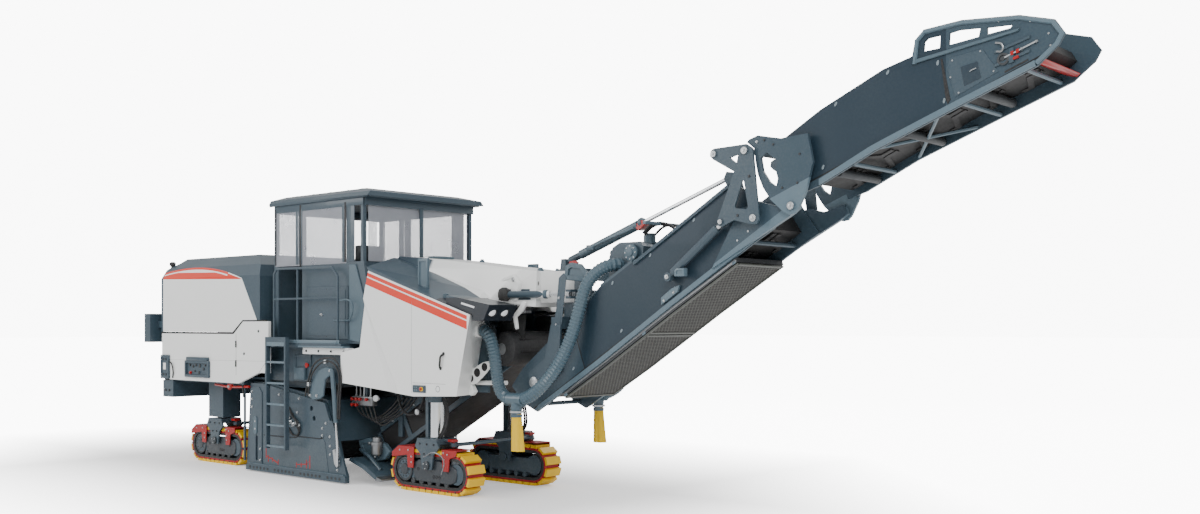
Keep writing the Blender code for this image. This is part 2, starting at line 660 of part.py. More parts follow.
def make_platform():
    top = PLATFORM_TOP
    wide = BODY_HALF_WIDTH - 0.03
    low = MIDDLE_TOP + SEAT_GAP
    deck = [box(-3.52, MIDDLE_FRONT + 0.02, -wide, wide, low, top)]
    for side_name, side in SIDES:
        y = side * (wide - RAIL_RADIUS)
        hoop = [(-3.44, y, top - 0.03), (-3.44, y, 3.20), (-3.36, y, 3.28), (-1.90, y, 3.26), (-1.76, y, 3.12),
                (-1.76, y, top - 0.03)]
        deck.append(pipe(hoop, RAIL_RADIUS))
        deck.append(rod((-2.80, y, top - 0.03), (-2.80, y, 3.275), RAIL_RADIUS - 0.002, 8))
        deck.append(rod((-3.44, y, 2.80), (-1.76, y, 2.80), RAIL_RADIUS - 0.003, 8))
        pin_end = side * (LADDER_Y - LADDER_DEPTH / 2 - SEAT_GAP)
        near, far = side * (wide - 0.04), pin_end
        deck.append(axle(-3.18, LADDER_PIVOT_Z, min(near, far), max(near, far), 0.028, 12))
    finish("platform", union(deck), "slate_paint")


def make_cabin():
    low = PLATFORM_TOP + SEAT_GAP
    wide = CABIN_HALF_WIDTH
    wall = CABIN_WALL
    rear = CABIN_REAR
    front = CABIN_FRONT
    side_outline = [(-2.85, low), (-1.64, low), (-1.24, low + 0.01), (-1.125, 2.71), (front - 0.02, 3.27),
                    (front - 0.02, SILL_Z), (-2.85, SILL_Z)]
    parts = [
        box(rear, rear + wall, -wide, wide, low, SILL_Z),
        box(rear + wall / 2, front - 0.03, -wide + 0.002, wide - 0.002, low, low + 0.04),
        box(front - 0.10, front - 0.06, -wide + 0.02, wide - 0.02, low + 0.02, SILL_Z - 0.001),
    ]
    for side_name, side in SIDES:
        near, far = side * (wide - wall), side * wide
        parts.append(side_plate(side_outline, min(near, far), max(near, far)))
        rear_plate = [(rear + 0.001, low), (rear + 0.12, low), (rear + 0.12, SILL_Z - 0.001),
                      (rear + 0.001, SILL_Z - 0.001)]
        parts.append(side_plate(rear_plate, min(near, far), max(near, far)))
    # Posts and the ring that carries the roof
    post = POST_SIZE
    post_top = ROOF_UNDERSIDE - SEAT_GAP
    for x in (rear, -2.88, front - 0.10):
        for side_name, side in SIDES:
            near, far = side * (wide - post), side * (wide - 0.001)
            parts.append(box(x + 0.002, x + post, min(near, far), max(near, far), SILL_Z - 0.05, post_top))
    parts.append(box(front - 0.10, front - 0.05, -0.36, -0.30, SILL_Z - 0.05, post_top - 0.01))
    ring_low = post_top - 0.09
    for side_name, side in SIDES:
        near, far = side * (wide - post + 0.002), side * (wide - 0.003)
        parts.append(box(rear + 0.003, front - 0.05, min(near, far), max(near, far), ring_low, post_top - 0.001))
        near, far = side * (wide - wall), side * (wide - 0.004)
        parts.append(box(-2.87, front - 0.06, min(near, far), max(near, far), SILL_Z - 0.04, SILL_Z - 0.002))
    parts.append(box(rear + 0.004, rear + post - 0.004, -wide + 0.01, wide - 0.01, ring_low + 0.001, post_top - 0.002))
    parts.append(box(front - 0.096, front - 0.052, -wide + 0.01, wide - 0.01, ring_low + 0.001, post_top - 0.002))
    finish("cabin_frame", union(parts), "slate_paint")
    # Roof
    under = ROOF_UNDERSIDE
    roof = []
    for side in (-1, 1):
        roof += [(-3.75, side * 1.10, under + 0.02), (-1.10, side * 1.16, under), (-3.75, side * 1.06, under + 0.09),
                 (-1.10, side * 1.10, under + 0.07), (-3.55, side * 0.90, under + ROOF_THICKNESS),
                 (-1.45, side * 0.90, under + ROOF_THICKNESS), (-3.70, side * 1.0, under),
                 (-1.16, side * 1.10, under)]
    finish("cabin_roof", hull(roof), "slate_paint")
    # Glass, one sheet a side, standing just outside the posts
    pane_low = SILL_Z + GLASS_GAP
    pane_high = ring_low - GLASS_GAP
    thick = GLASS_THICKNESS
    for side_name, side in SIDES:
        near, far = side * (wide + SEAT_GAP), side * (wide + thick)
        finish("side_glass_" + side_name, box(rear + 0.04, -1.70, min(near, far), max(near, far), SILL_Z - 0.02,
                                              pane_high + 0.05), "clear_glass")
    finish("front_glass", box(front - 0.05 + SEAT_GAP, front - 0.05 + thick, -0.98, 0.98, pane_low, pane_high + 0.05),
           "clear_glass")
    finish("rear_glass", box(rear - thick, rear - SEAT_GAP, -0.98, 0.98, SILL_Z - 0.02, pane_high + 0.05),
           "clear_glass")
    # Seat and console
    floor = low + 0.04 + SEAT_GAP
    seat = union([
        box(-2.95, -2.45, -0.25, 0.25, floor + 0.40, floor + 0.54),
        box(-3.02, -2.88, -0.24, 0.24, floor + 0.50, floor + 1.12),
        box(-2.82, -2.60, -0.11, 0.11, floor, floor + 0.42),
    ])
    finish("operator_seat", seat, "seat_cover")
    desk = [(-1.95, floor), (-1.55, floor), (-1.50, 3.05), (-1.62, 3.18), (-2.0, 3.02), (-2.0, 2.92)]
    finish("control_console", side_plate(desk, -0.55, 0.55), "slate_paint")


DRUM_HOUSING_SIDE = [
    # x, z round one end plate of the milling chamber
    (-4.22, 0.30), (-4.22, 1.46), (-3.85, 1.46), (-2.56, 1.30), (-2.19, 1.24), (-2.02, 0.93), (-1.80, 0.30),
]
OUTER_PLATE = [
    # x, z round one lifting side plate
    (-4.33, SIDE_PLATE_BOTTOM), (-4.33, 0.25), (-4.22, 1.44), (-3.85, 1.44), (-2.56, 1.25), (-2.19, 1.20),
    (-2.04, 0.90), (-1.63, 0.12), (-1.63, SIDE_PLATE_BOTTOM),
]
SKID_RAIL = [(-4.33, SIDE_PLATE_BOTTOM), (-4.33, 0.10), (-4.26, 0.13), (-1.66, 0.13), (-1.63, 0.10),
             (-1.63, SIDE_PLATE_BOTTOM)]
GUIDE_STRIP = [(-4.21, 0.12), (-4.21, 1.30), (-4.14, 1.38), (-3.96, 1.38), (-3.88, 1.30), (-3.88, 0.12)]
PLATE_WINDOWS = ((-2.53, 1.10), (-2.46, 0.95))
PLATE_SLOTS = (
    # outlines in x, z of the slots in one side plate
    [(-4.06, 0.20), (-4.03, 0.18), (-4.00, 0.20), (-4.00, 0.58), (-4.03, 0.60), (-4.06, 0.58)],
    [(-2.20, 0.40), (-2.17, 0.37), (-2.14, 0.40), (-2.24, 0.66), (-2.27, 0.68), (-2.29, 0.65)],
)


def drum_tool(angle, y):
    """One cutting tool with its holder: a wedge that leans the way the drum turns."""
    reach = math.sqrt(DRUM_TIP_RADIUS ** 2 - TOOL_LEAN ** 2)
    points = []
    for radius, back, ahead, half in ((DRUM_BODY_RADIUS - 0.02, -0.06, 0.05, 0.028), (reach, 0.03, TOOL_LEAN, 0.012)):
        for lean in (back, ahead):
            for across in (-half, half):
                points.append((DRUM_X + radius * math.cos(angle) - lean * math.sin(angle), y + across,
                               DRUM_Z + radius * math.sin(angle) + lean * math.cos(angle)))
    return hull(points)


def drum_tools():
    """Two helical rows of tools that meet at the drum's middle."""
    tools = []
    pitch = (DRUM_HALF_WIDTH - 0.08) / (TOOLS_A_SIDE - 1)
    for side_name, side in SIDES:
        for index in range(TOOLS_A_SIDE):
            angle = 2 * math.pi * TOOL_FLIGHT_TURNS * index / TOOLS_A_SIDE + (math.pi if side > 0 else 0.0)
            tools.append(drum_tool(angle, side * (0.04 + pitch * index)))
    return tools


def make_milling_unit():
    inner_y = END_PLATE_Y
    parts = []
    for side_name, side in SIDES:
        near, far = side * inner_y, side * (inner_y + END_PLATE_WALL)
        parts.append(side_plate(DRUM_HOUSING_SIDE, min(near, far), max(near, far)))
        far = side * (inner_y + END_PLATE_WALL + SIDE_PLATE_GAP - SEAT_GAP)
        for x in (-4.12, -2.45):
            parts.append(box(x, x + 0.08, min(near, far), max(near, far), 0.40, 1.15))
    roof = [(-4.15, 1.36), (-3.85, 1.36), (-2.56, 1.20), (-2.25, 1.17), (-2.12, 0.92), (-2.02, 0.62),
            (-1.96, 0.62), (-2.06, 0.94), (-2.21, 1.23), (-2.56, 1.26), (-3.85, 1.42), (-4.15, 1.42)]
    parts.append(side_plate(roof, -inner_y - 0.01, inner_y + 0.01))
    parts.append(box(-4.0, -2.7, -0.9, 0.9, 1.39, HOUSING_TOP - SEAT_GAP))
    housing = union(parts)
    holes = [axle(DRUM_X, DRUM_Z, min(side * 0.98, side * 1.2), max(side * 0.98, side * 1.2), 0.17)
             for _, side in SIDES]
    finish("drum_housing", cut(housing, holes), "slate_paint")
    for side_name, side in SIDES:
        near = side * (inner_y + END_PLATE_WALL + SIDE_PLATE_GAP)
        far = near + side * SIDE_PLATE_WALL
        parts = [side_plate(OUTER_PLATE, min(near, far), max(near, far))]
        rail = far + side * 0.025
        parts.append(side_plate(SKID_RAIL, min(near, rail), max(near, rail)))
        strip = far + side * 0.012
        parts.append(side_plate(GUIDE_STRIP, min(near, strip), max(near, strip)))
        windows = [axle(x, z, -1.3, 1.3, 0.042, 6) for x, z in PLATE_WINDOWS]
        windows += [side_plate(slot, -1.3, 1.3) for slot in PLATE_SLOTS]
        finish("side_plate_" + side_name, cut(union(parts), windows), "slate_paint")
    drum = [axle(DRUM_X, DRUM_Z, -DRUM_HALF_WIDTH, DRUM_HALF_WIDTH, DRUM_BODY_RADIUS, 24)] + drum_tools()
    flange = END_PLATE_Y - SEAT_GAP
    drum.append(axle(DRUM_X, DRUM_Z, -flange, flange, 0.22, 12))
    drum.append(axle(DRUM_X, DRUM_Z, -1.06, 1.06, 0.15, 12))
    finish("milling_drum", union(drum), "drum_steel", (DRUM_X, 0.0, DRUM_Z))
    blade = [(SCRAPER_X - 0.03, SCRAPER_PIVOT_Z + 0.03), (SCRAPER_X + 0.03, SCRAPER_PIVOT_Z + 0.03),
             (SCRAPER_X + 0.04, 0.10), (SCRAPER_X - 0.02, 0.08)]
    hinge = axle(SCRAPER_X, SCRAPER_PIVOT_Z, -flange, flange, 0.03, 12)
    finish("scraper", union([side_plate(blade, -1.0, 1.0), hinge]), "slate_paint",
           (SCRAPER_X, 0.0, SCRAPER_PIVOT_Z))


def make_ladders():
    for side_name, side in SIDES:
        y = side * LADDER_Y
        parts = []
        for x in (-3.44, -2.92):
            parts.append(box(x - 0.02, x + 0.02, min(y - 0.035, y + 0.035), max(y - 0.035, y + 0.035), 0.44, 2.20))
        for index in range(6):
            z = 0.47 + 0.33 * index
            parts.append(box(-3.43, -2.93, y - 0.033, y + 0.033, z, z + 0.03))
        parts.append(box(-3.439, -2.921, y - 0.0345, y + 0.0345, 2.06, 2.199))
        finish("ladder_" + side_name, union(parts), "slate_paint", (-3.18, side * (LADDER_Y - 0.05), LADDER_PIVOT_Z))


def make_primary_conveyor():
    wide = PRIMARY_HALF_WIDTH
    outline = [(-1.85, 0.32), (-1.50, 0.35), (1.26, 1.86), (1.37, 2.02), (1.33, 2.20), (1.16, 2.29), (0.95, 2.22),
               (-1.72, 0.80)]
    frame = side_plate(outline, -wide, wide)
    finish("primary_conveyor", frame, "belt_rubber")


LOWER_BOOM = [
    # x, z round one side plate of the lower conveyor section
    (1.26, 1.55), (1.50, 1.32), (1.75, 1.22), (2.88, 1.88), (4.05, 2.61), (5.30, 3.36), (5.55, 3.50),
    (5.20, 3.95), (4.93, 4.06), (3.97, 3.49), (2.88, 2.87), (2.44, 2.46), (2.34, 2.22), (2.0, 2.20), (1.47, 1.80),
]
LOWER_RAIL = [(1.72, 1.235), (1.77, 1.235), (2.88, 1.885), (4.05, 2.615), (5.28, 3.355), (5.27, 3.42), (4.04, 2.68),
              (2.87, 1.95), (1.80, 1.32)]
TOP_RAIL = [(3.46, 3.185), (3.97, 3.485), (4.92, 4.05), (4.93, 4.01), (3.98, 3.445), (3.47, 3.145)]
LOWER_BELT = [
    (1.40, 1.62), (1.56, 1.46), (1.75, 1.40), (5.30, 3.52), (5.10, 3.82), (2.80, 2.45), (2.1, 1.95), (1.55, 1.78),
]
UPPER_BOOM = [
    # x, z round one side plate of the upper conveyor section
    (5.94, 3.88), (6.15, 3.94), (6.83, 4.26), (7.81, 4.63), (8.59, 4.92), (8.80, 5.10), (8.86, 5.20), (8.76, 5.35),
    (8.41, 5.45), (7.81, 5.50), (7.39, 5.47), (7.29, 5.36), (7.26, 5.21), (6.92, 5.12), (6.15, 4.78), (5.66, 4.50),
]
UPPER_RAIL = [(6.15, 3.945), (6.83, 4.265), (7.81, 4.635), (8.58, 4.92), (8.57, 4.975), (7.80, 4.695), (6.81, 4.325),
              (6.15, 4.01)]
UPPER_CROSS_TUBES = ((6.55, 4.15), (7.80, 4.66), (8.45, 4.92))
UPPER_BRACE = ((6.84, 4.29), (7.55, 4.56))
BRACKET_SPACER = [(5.82, 4.14), (6.08, 4.20), (6.02, 4.48), (5.80, 4.40)]
TIP_RIM = [(7.29, 5.12), (7.315, 5.36), (7.40, 5.44), (7.81, 5.47), (8.41, 5.42), (8.74, 5.325), (8.83, 5.20),
           (8.78, 5.11), (8.58, 4.95)]
TIP_WINDOWS = (
    # x, z round the three windows in each raised tip plate
    [(7.39, 5.24), (7.40, 5.34), (7.44, 5.37), (7.58, 5.38), (7.57, 5.25)],
    [(7.67, 5.265), (7.68, 5.385), (7.78, 5.40), (8.01, 5.385), (7.99, 5.30)],
    [(8.08, 5.31), (8.08, 5.375), (8.34, 5.365), (8.32, 5.335)],
)
UPPER_BELT = [
    (6.0, 3.98), (7.81, 4.78), (8.50, 5.02), (8.62, 5.12), (8.56, 5.22), (8.40, 5.24), (7.70, 5.02), (5.85, 4.28),
]


def chord_z(x):
    """The height of the lower section's bottom edge."""
    edge = LOWER_BOOM[2:6]
    for (x0, z0), (x1, z1) in zip(edge, edge[1:]):
        if x <= x1:
            return z0 + (z1 - z0) * (x - x0) / (x1 - x0)


def boom_sides(outline, half):
    """Two side plates, one each side of the belt."""
    plates = []
    for side in (-1, 1):
        near, far = side * (half - BOOM_WALL), side * half
        plates.append(side_plate(outline, min(near, far), max(near, far)))
    return plates


def along(start, end, distance):
    """The point at a distance from start towards end."""
    first = Vector(start)
    return tuple(first + (Vector(end) - first).normalized() * distance)


def eye(centre, width, hole_radius):
    """A ring across the machine, given as its solid and the cutter for its hole."""
    x, y, z = centre
    ring = axle(x, z, y - width / 2, y + width / 2, EYE_RADIUS, 12)
    hole = axle(x, z, y - width, y + width, hole_radius, 12)
    return ring, hole


def cylinder_barrel(name, base, end, length, pivot_hole):
    """A cylinder's barrel from its base eye, with the bore that its rod slides in."""
    ring, hole = eye(base, 0.06, pivot_hole)
    neck = rod(along(base, end, 0.04), along(base, end, 0.12), CYLINDER_ROD_RADIUS, 12)
    body = rod(along(base, end, 0.09), along(base, end, length), CYLINDER_RADIUS, 12)
    bore = rod(along(base, end, 0.14), along(base, end, length + 0.1), CYLINDER_ROD_RADIUS + PIN_GAP, 12)
    finish(name, cut(union([ring, neck, body]), [hole, bore]), "slate_paint", base)


def cylinder_rod(name, base, end, start, width, pivot=None):
    """A cylinder's rod, from inside its barrel to the eye at its end."""
    ring, hole = eye(end, width, EYE_PIN_RADIUS + PIN_GAP)
    reach = (Vector(end) - Vector(base)).length
    body = rod(along(base, end, start), along(base, end, reach - 0.04), CYLINDER_ROD_RADIUS, 12)
    finish(name, cut(union([ring, body]), [hole]), "bright_rod", pivot or end)


ROCKER_OUTLINE = [
    # x, z round one rocker plate, from its knob
    (4.80, 4.465), (4.755, 4.44), (4.745, 4.38), (4.79, 4.335), (5.09, 4.17), (4.855, 3.63), (4.855, 3.56),
    (4.91, 3.54), (5.09, 3.61), (5.30, 3.555), (5.40, 3.545), (5.44, 3.60), (5.365, 4.28), (5.345, 4.42),
    (5.26, 4.475),
]


ROCKER_WINDOWS = (
    # x, z of the two triangular windows in each rocker plate
    [(5.035, 4.335), (5.15, 4.365), (5.125, 4.265)],
    [(5.205, 4.06), (5.225, 4.06), (5.285, 3.75), (5.265, 3.725), (5.11, 3.745), (5.10, 3.77)],
)
BRACKET_OUTLINE = [
    # x, z round the bent bracket that hangs the upper section on its pin
    (5.24, 4.50), (5.27, 4.53), (5.39, 4.565), (5.70, 4.50), (6.05, 4.52), (6.12, 4.20), (6.02, 3.86), (5.93, 3.69),
    (5.88, 3.64), (5.81, 3.63), (5.72, 3.68), (5.56, 3.82), (5.46, 3.96), (5.39, 4.12), (5.36, 4.26), (5.34, 4.42),
]
BRACKET_WINDOW = [(5.43, 4.30), (5.51, 4.36), (5.66, 4.25), (5.63, 4.15), (5.66, 4.05), (5.64, 3.96), (5.55, 4.02),
                  (5.46, 4.15)]


def slew_ends(side):
    """The base and the rod's eye of one slewing cylinder."""
    base = (SLEW_BASE[0], side * SLEW_BASE[1], SLEW_BASE[2])
    return base, (SLEW_EYE[0], side * SLEW_EYE[1], SLEW_EYE[2])


def make_cylinders():
    for side_name, side in SIDES:
        y = side * (BOOM_HALF_WIDTH + 0.09)
        base = (FOLD_BASE_X, y, FOLD_BASE_Z)
        end = (FOLD_EYE_X, y, FOLD_EYE_Z)
        cylinder_barrel("fold_barrel_" + side_name, base, end, 0.92, EYE_PIN_RADIUS + PIN_GAP)
        cylinder_rod("fold_rod_" + side_name, base, end, 0.35, 0.06 - 2 * SEAT_GAP)
    base = (SUSPENSION_BASE_X, 0.0, SUSPENSION_BASE_Z)
    end = (SUSPENSION_END_X, 0.0, SUSPENSION_END_Z)
    cylinder_barrel("suspension_barrel", base, end, 1.45, EYE_PIN_RADIUS + PIN_GAP)
    cylinder_rod("suspension_rod", base, end, 0.60, 0.07)
    for side_name, side in SIDES:
        near, far = side * ROCKER_Y, side * (ROCKER_Y + ROCKER_PLATE)
        plate = side_plate(ROCKER_OUTLINE, min(near, far), max(near, far))
        holes = [axle(ROCKER_X, ROCKER_Z, -0.8, 0.8, ROCKER_PIN_RADIUS + PIN_GAP, 16)]
        holes += [side_plate(window, -0.8, 0.8) for window in ROCKER_WINDOWS]
        boss = far + side * 0.014
        bosses = [axle(x, z, min(near, boss), max(near, boss), radius, 12)
                  for x, z, radius in ((ROCKER_TOP_X, ROCKER_TOP_Z, 0.045), (4.80, 4.40, 0.04), (FOLD_EYE_X, FOLD_EYE_Z, 0.035))]
        finish("rocker_plate_" + side_name, cut(union([plate] + bosses), holes), "slate_paint",
               (ROCKER_X, 0.0, ROCKER_Z))
    tube_end = ROCKER_Y - SEAT_GAP
    finish("rocker_tube", axle(ROCKER_TOP_X, ROCKER_TOP_Z, -tube_end, tube_end, 0.035, 12), "slate_paint",
           (ROCKER_X, 0.0, ROCKER_Z))
    for side_name, side in SIDES:
        base, end = slew_ends(side)
        tip = rod((end[0], end[1], end[2] - 0.03), (end[0], end[1], end[2] + 0.03), 0.05, 12)
        stem = rod(along(base, end, SLEW_ROD_START), end, CYLINDER_ROD_RADIUS, 12)
        finish("slew_rod_" + side_name, union([tip, stem]), "bright_rod")


def make_fan():
    """The dust fan on the lower conveyor section, on a saddle across its side plates."""
    half = BOOM_HALF_WIDTH
    top = LOWER_BOOM[9:11]
    slope = (top[0][1] - top[1][1]) / (top[0][0] - top[1][0])
    seat = [(x, top[1][1] + slope * (x - top[1][0]) + SEAT_GAP) for x in (2.89, 3.42)]
    saddle = seat + [(x, z + 0.04) for x, z in seat[::-1]]
    parts = [side_plate(saddle, -half + 0.002, half - 0.002)]
    housing = [(2.84, 2.85), (2.88, 2.89), (3.25, 3.10), (3.40, 3.20), (3.42, 3.40), (3.36, 3.46), (3.02, 3.46),
               (2.90, 3.40), (2.84, 3.28)]
    parts.append(side_plate(housing, -FAN_HALF_WIDTH, FAN_HALF_WIDTH))
    for side_name, side in SIDES:
        near, far = side * (FAN_HALF_WIDTH - 0.01), side * (FAN_HALF_WIDTH + 0.035)
        parts.append(axle(3.24, 3.32, min(near, far), max(near, far), 0.10, 16))
    parts.append(rod((3.30, 0.0, 3.45), (3.30, 0.0, 3.58), 0.075, 12))
    parts.append(rod((2.86, -0.10, 3.34), (2.74, -0.10, 3.34), 0.045, 10))
    finish("suction_fan", union(parts), "slate_paint", (LIFT_X, 0.0, LIFT_Z))


def smooth_path(points, steps):
    """A smooth curve through some points, as a list of points."""
    made = []
    spare = [points[0]] + list(points) + [points[-1]]
    for index in range(1, len(spare) - 2):
        a, b, c, d = (Vector(spare[index + offset]) for offset in (-1, 0, 1, 2))
        for step in range(steps):
            t = step / steps
            made.append(tuple(0.5 * ((2 * b) + (c - a) * t + (2 * a - 5 * b + 4 * c - d) * t * t
                                     + (3 * b - a - 3 * c + d) * t ** 3)))
    made.append(tuple(points[-1]))
    return made


def make_duct(side_name, side):
    """The suction duct of one side: a hose from the fan, a branch piece and the skirt below it."""
    route = [(FAN_PORT_X, 0.34, FAN_PORT_Z), (2.95, 0.42, 3.16), (2.82, 0.50, 3.08), (2.70, 0.58, 2.90),
             (2.63, 0.62, 2.58), (2.53, 0.67, 2.20), (2.34, 0.74, 1.82), (2.08, HOSE_Y, 1.53),
             (1.86, HOSE_Y, 1.42), (BRANCH_X + 0.06, HOSE_Y, BRANCH_Z)]
    points = smooth_path([(x, side * y, z) for x, y, z in route], 2)
    points.insert(0, (FAN_PORT_X, side * (FAN_HALF_WIDTH + SEAT_GAP), FAN_PORT_Z))
    points.append((BRANCH_X, side * HOSE_Y, BRANCH_Z))
    parts = [pipe(points, HOSE_RADIUS, 10)]
    skirt = []
    for x, wide, z in ((1.68, 0.06, 1.42), (1.68, 0.06, 1.10), (1.70, 0.09, 0.72)):
        skirt += [(x + end * wide, side * HOSE_Y + edge * 0.05, z) for end in (-1, 1) for edge in (-1, 1)]
    parts.append(hull(skirt))
    finish("dust_duct_" + side_name, union(parts), "hose_grey", (LIFT_X, 0.0, LIFT_Z))
    route = [(SPIGOT_X + 0.05, SPIGOT_Z), (1.17, 2.24), (1.26, 1.97), (1.30, 1.66), (1.38, 1.46),
             (BRANCH_X - 0.06, BRANCH_Z)]
    points = smooth_path([(x, side * HOSE_Y, z) for x, z in route], 2)
    points.insert(0, (SPIGOT_X + SEAT_GAP, side * HOSE_Y, SPIGOT_Z))
    points.append((BRANCH_X - SEAT_GAP, side * HOSE_Y, BRANCH_Z))
    finish("intake_hose_" + side_name, pipe(points, HOSE_RADIUS, 10), "hose_grey")


def make_discharge_conveyor():
    half = BOOM_HALF_WIDTH
    belt_half = half - BOOM_WALL - SEAT_GAP
    # Mast, which slews on the nose
    mast = []
    for side in (-1, 1):
        near, far = side * 0.53, side * 0.56
        ear = [(LIFT_X - 0.10, LIFT_Z - 0.10), (LIFT_X + 0.10, LIFT_Z - 0.10), (2.20, 1.80), (2.24, 2.40),
               (2.06, 2.40), (1.95, 1.95), (LIFT_X - 0.10, 1.75)]
        mast.append(side_plate(ear, min(near, far), max(near, far)))
    mast.append(box(2.06, 2.22, -0.55, 0.55, 2.34, 2.50))
    mast.append(box(SLEW_X - 0.08, 2.20, -0.10, 0.10, 2.42, NOSE_LOW - PIN_GAP))
    mast.append(rod((SLEW_X, 0.0, 2.60), (SLEW_X, 0.0, 3.15), SLEW_PIN_RADIUS, 24))
    mast.append(rod((SLEW_X, 0.0, NOSE_HIGH + PIN_GAP), (SLEW_X, 0.0, 3.15), 0.08, 16))
    mast.append(box(2.08, 2.20, -0.12, 0.12, 2.45, 3.161))
    mast.append(box(SUSPENSION_BASE_X - 0.07, 2.19, -0.09, 0.09, NOSE_HIGH + 0.006, 3.16))
    eye_side = 0.03 + SEAT_GAP
    for side in (-1, 1):
        near, far = side * eye_side, side * (eye_side + 0.025)
        ear = [(SUSPENSION_BASE_X - 0.06, 3.15), (SUSPENSION_BASE_X + 0.06, 3.15),
               (SUSPENSION_BASE_X + 0.04, SUSPENSION_BASE_Z + 0.05), (SUSPENSION_BASE_X - 0.04, SUSPENSION_BASE_Z + 0.05)]
        mast.append(side_plate(ear, min(near, far), max(near, far)))
        for low in (SLEW_EYE[2] - 0.06 - SEAT_GAP, SLEW_EYE[2] + 0.03 + SEAT_GAP):
            arm = [(2.16, side * 0.05), (2.11, side * 0.10), (2.05, side * 0.19), (2.05, side * 0.26),
                   (2.15, side * 0.27), (2.19, side * 0.11)]
            mast.append(flat_plate(arm, low, low + 0.03))
    mast.append(axle(SUSPENSION_BASE_X, SUSPENSION_BASE_Z, -eye_side - 0.01, eye_side + 0.01, EYE_PIN_RADIUS, 12))
    mast.append(axle(LIFT_X, LIFT_Z, -0.57, -0.471, LIFT_PIN_RADIUS, 16))
    mast.append(axle(LIFT_X, LIFT_Z, 0.471, 0.57, LIFT_PIN_RADIUS, 16))
    finish("conveyor_mast", union(mast), "slate_paint", (SLEW_X, 0.0, 2.0))
    # Lower section
    lower = boom_sides(LOWER_BOOM, half)
    for x, z in ((1.62, 1.31), (2.6, 1.785), (4.0, 2.64), (5.2, 3.36)):
        lower.append(axle(x, z, -half + 0.01, half - 0.01, 0.03, 8))
    for side in (-1, 1):
        near, far = side * (half - 0.01), side * (half + 0.05)
        lug = [(4.70, 3.06), (5.30, 3.37), (FOLD_X - 0.02, FOLD_Z - 0.09), (FOLD_X + 0.08, FOLD_Z - 0.02),
               (FOLD_X + 0.04, FOLD_Z + 0.09), (5.60, 3.75), (5.40, 3.80), (5.10, 3.75)]
        lower.append(side_plate(lug, min(near, far), max(near, far)))
        near, far = side * (half - 0.01), side * (half + 0.125)
        lower.append(axle(ROCKER_X, ROCKER_Z, min(near, far), max(near, far), ROCKER_PIN_RADIUS, 16))
        lower.append(axle(FOLD_BASE_X, FOLD_BASE_Z, min(near, far), max(near, far), EYE_PIN_RADIUS, 12))
        near, far = side * (half - 0.008), side * (half + RAIL_DEPTH)
        lower.append(side_plate(LOWER_RAIL, min(near, far), max(near, far)))
        lower.append(side_plate(TOP_RAIL, min(near, far), max(near, far)))
        hanger = [(4.69, 3.84), (4.82, 3.84), (4.68, 4.25), (4.56, 4.27), (4.52, 4.19)]
        near, far = side * SUSPENSION_EYE, side * (SUSPENSION_EYE + 0.025)
        lower.append(side_plate(hanger, min(near, far), max(near, far)))
        near, far = side * (half - 0.01), side * (half + 0.12)
        lower.append(axle(FOLD_X, FOLD_Z, min(near, far), max(near, far), FOLD_PIN_RADIUS, 16))
    lower.append(axle(4.75, 3.88, -half + 0.01, half - 0.01, 0.05, 12))
    lower_solid = cut(union(lower), [axle(LIFT_X, LIFT_Z, -0.6, 0.6, LIFT_PIN_RADIUS + 2 * PIN_GAP, 16)])
    finish("lower_boom", lower_solid, "slate_paint", (LIFT_X, 0.0, LIFT_Z))
    finish("lower_belt", side_plate(LOWER_BELT, -belt_half, belt_half), "belt_rubber", (LIFT_X, 0.0, LIFT_Z))
    # Guard below the belt
    xs = (2.21, 2.88, 4.05, 5.01)
    guard = [(x, chord_z(x) - SEAT_GAP) for x in xs] + [(x + 0.02, chord_z(x) - 0.05) for x in xs[::-1]]
    panel = side_plate(guard, -half + 0.01, half - 0.01)
    slots = []
    for first, last in ((2.30, 3.56), (3.66, 4.93)):
        for index in range(SLOTS_A_PANEL):
            x = first + (last - first - SLOT_WIDTH) * index / (SLOTS_A_PANEL - 1)
            slots.append(box(x, x + SLOT_WIDTH, -half + 0.05, half - 0.05, chord_z(x) - 0.2, chord_z(x) + 0.1))
    finish("belt_guard", cut(panel, slots), "guard_mesh", (LIFT_X, 0.0, LIFT_Z))
    make_fan()
    for side_name, side in SIDES:
        make_duct(side_name, side)
    make_cylinders()
    # Upper section
    upper = boom_sides(UPPER_BOOM, half)
    for x, z in UPPER_CROSS_TUBES:
        upper.append(axle(x, z, -half + 0.01, half - 0.01, 0.025, 8))
    reach = half - 0.015
    for side_name, side in SIDES:
        (x0, z0), (x1, z1) = UPPER_BRACE
        upper.append(rod((x0, side * reach, z0), (x1, -side * reach, z1), 0.02, 6))
        near, far = side * (half - 0.01), side * (half + RAIL_DEPTH)
        upper.append(side_plate(UPPER_RAIL, min(near, far), max(near, far)))
        far = side * (half + 0.07)
        upper.append(side_plate(BRACKET_SPACER, min(near, far), max(near, far)))
        near, far = side * (half + 0.06), side * (half + 0.10)
        upper.append(side_plate(BRACKET_OUTLINE, min(near, far), max(near, far)))
        upper.append(pipe([(x, side * (half - 0.002), z) for x, z in TIP_RIM], 0.028, 6))
    holes = [axle(FOLD_X, FOLD_Z, -0.7, 0.7, FOLD_PIN_RADIUS + PIN_GAP, 16),
             side_plate(BRACKET_WINDOW, -0.7, 0.7)]
    holes += [side_plate(window, -0.7, 0.7) for window in TIP_WINDOWS]
    finish("upper_boom", cut(union(upper), holes), "slate_paint", (FOLD_X, 0.0, FOLD_Z))
    finish("upper_belt", side_plate(UPPER_BELT, -belt_half, belt_half), "belt_rubber", (FOLD_X, 0.0, FOLD_Z))


make_running_gear()
finish("chassis_frame", make_chassis(), "slate_paint")
make_hood()
make_rear_body()
make_front_body()
make_platform()
make_cabin()
make_milling_unit()
make_ladders()
make_primary_conveyor()
make_discharge_conveyor()
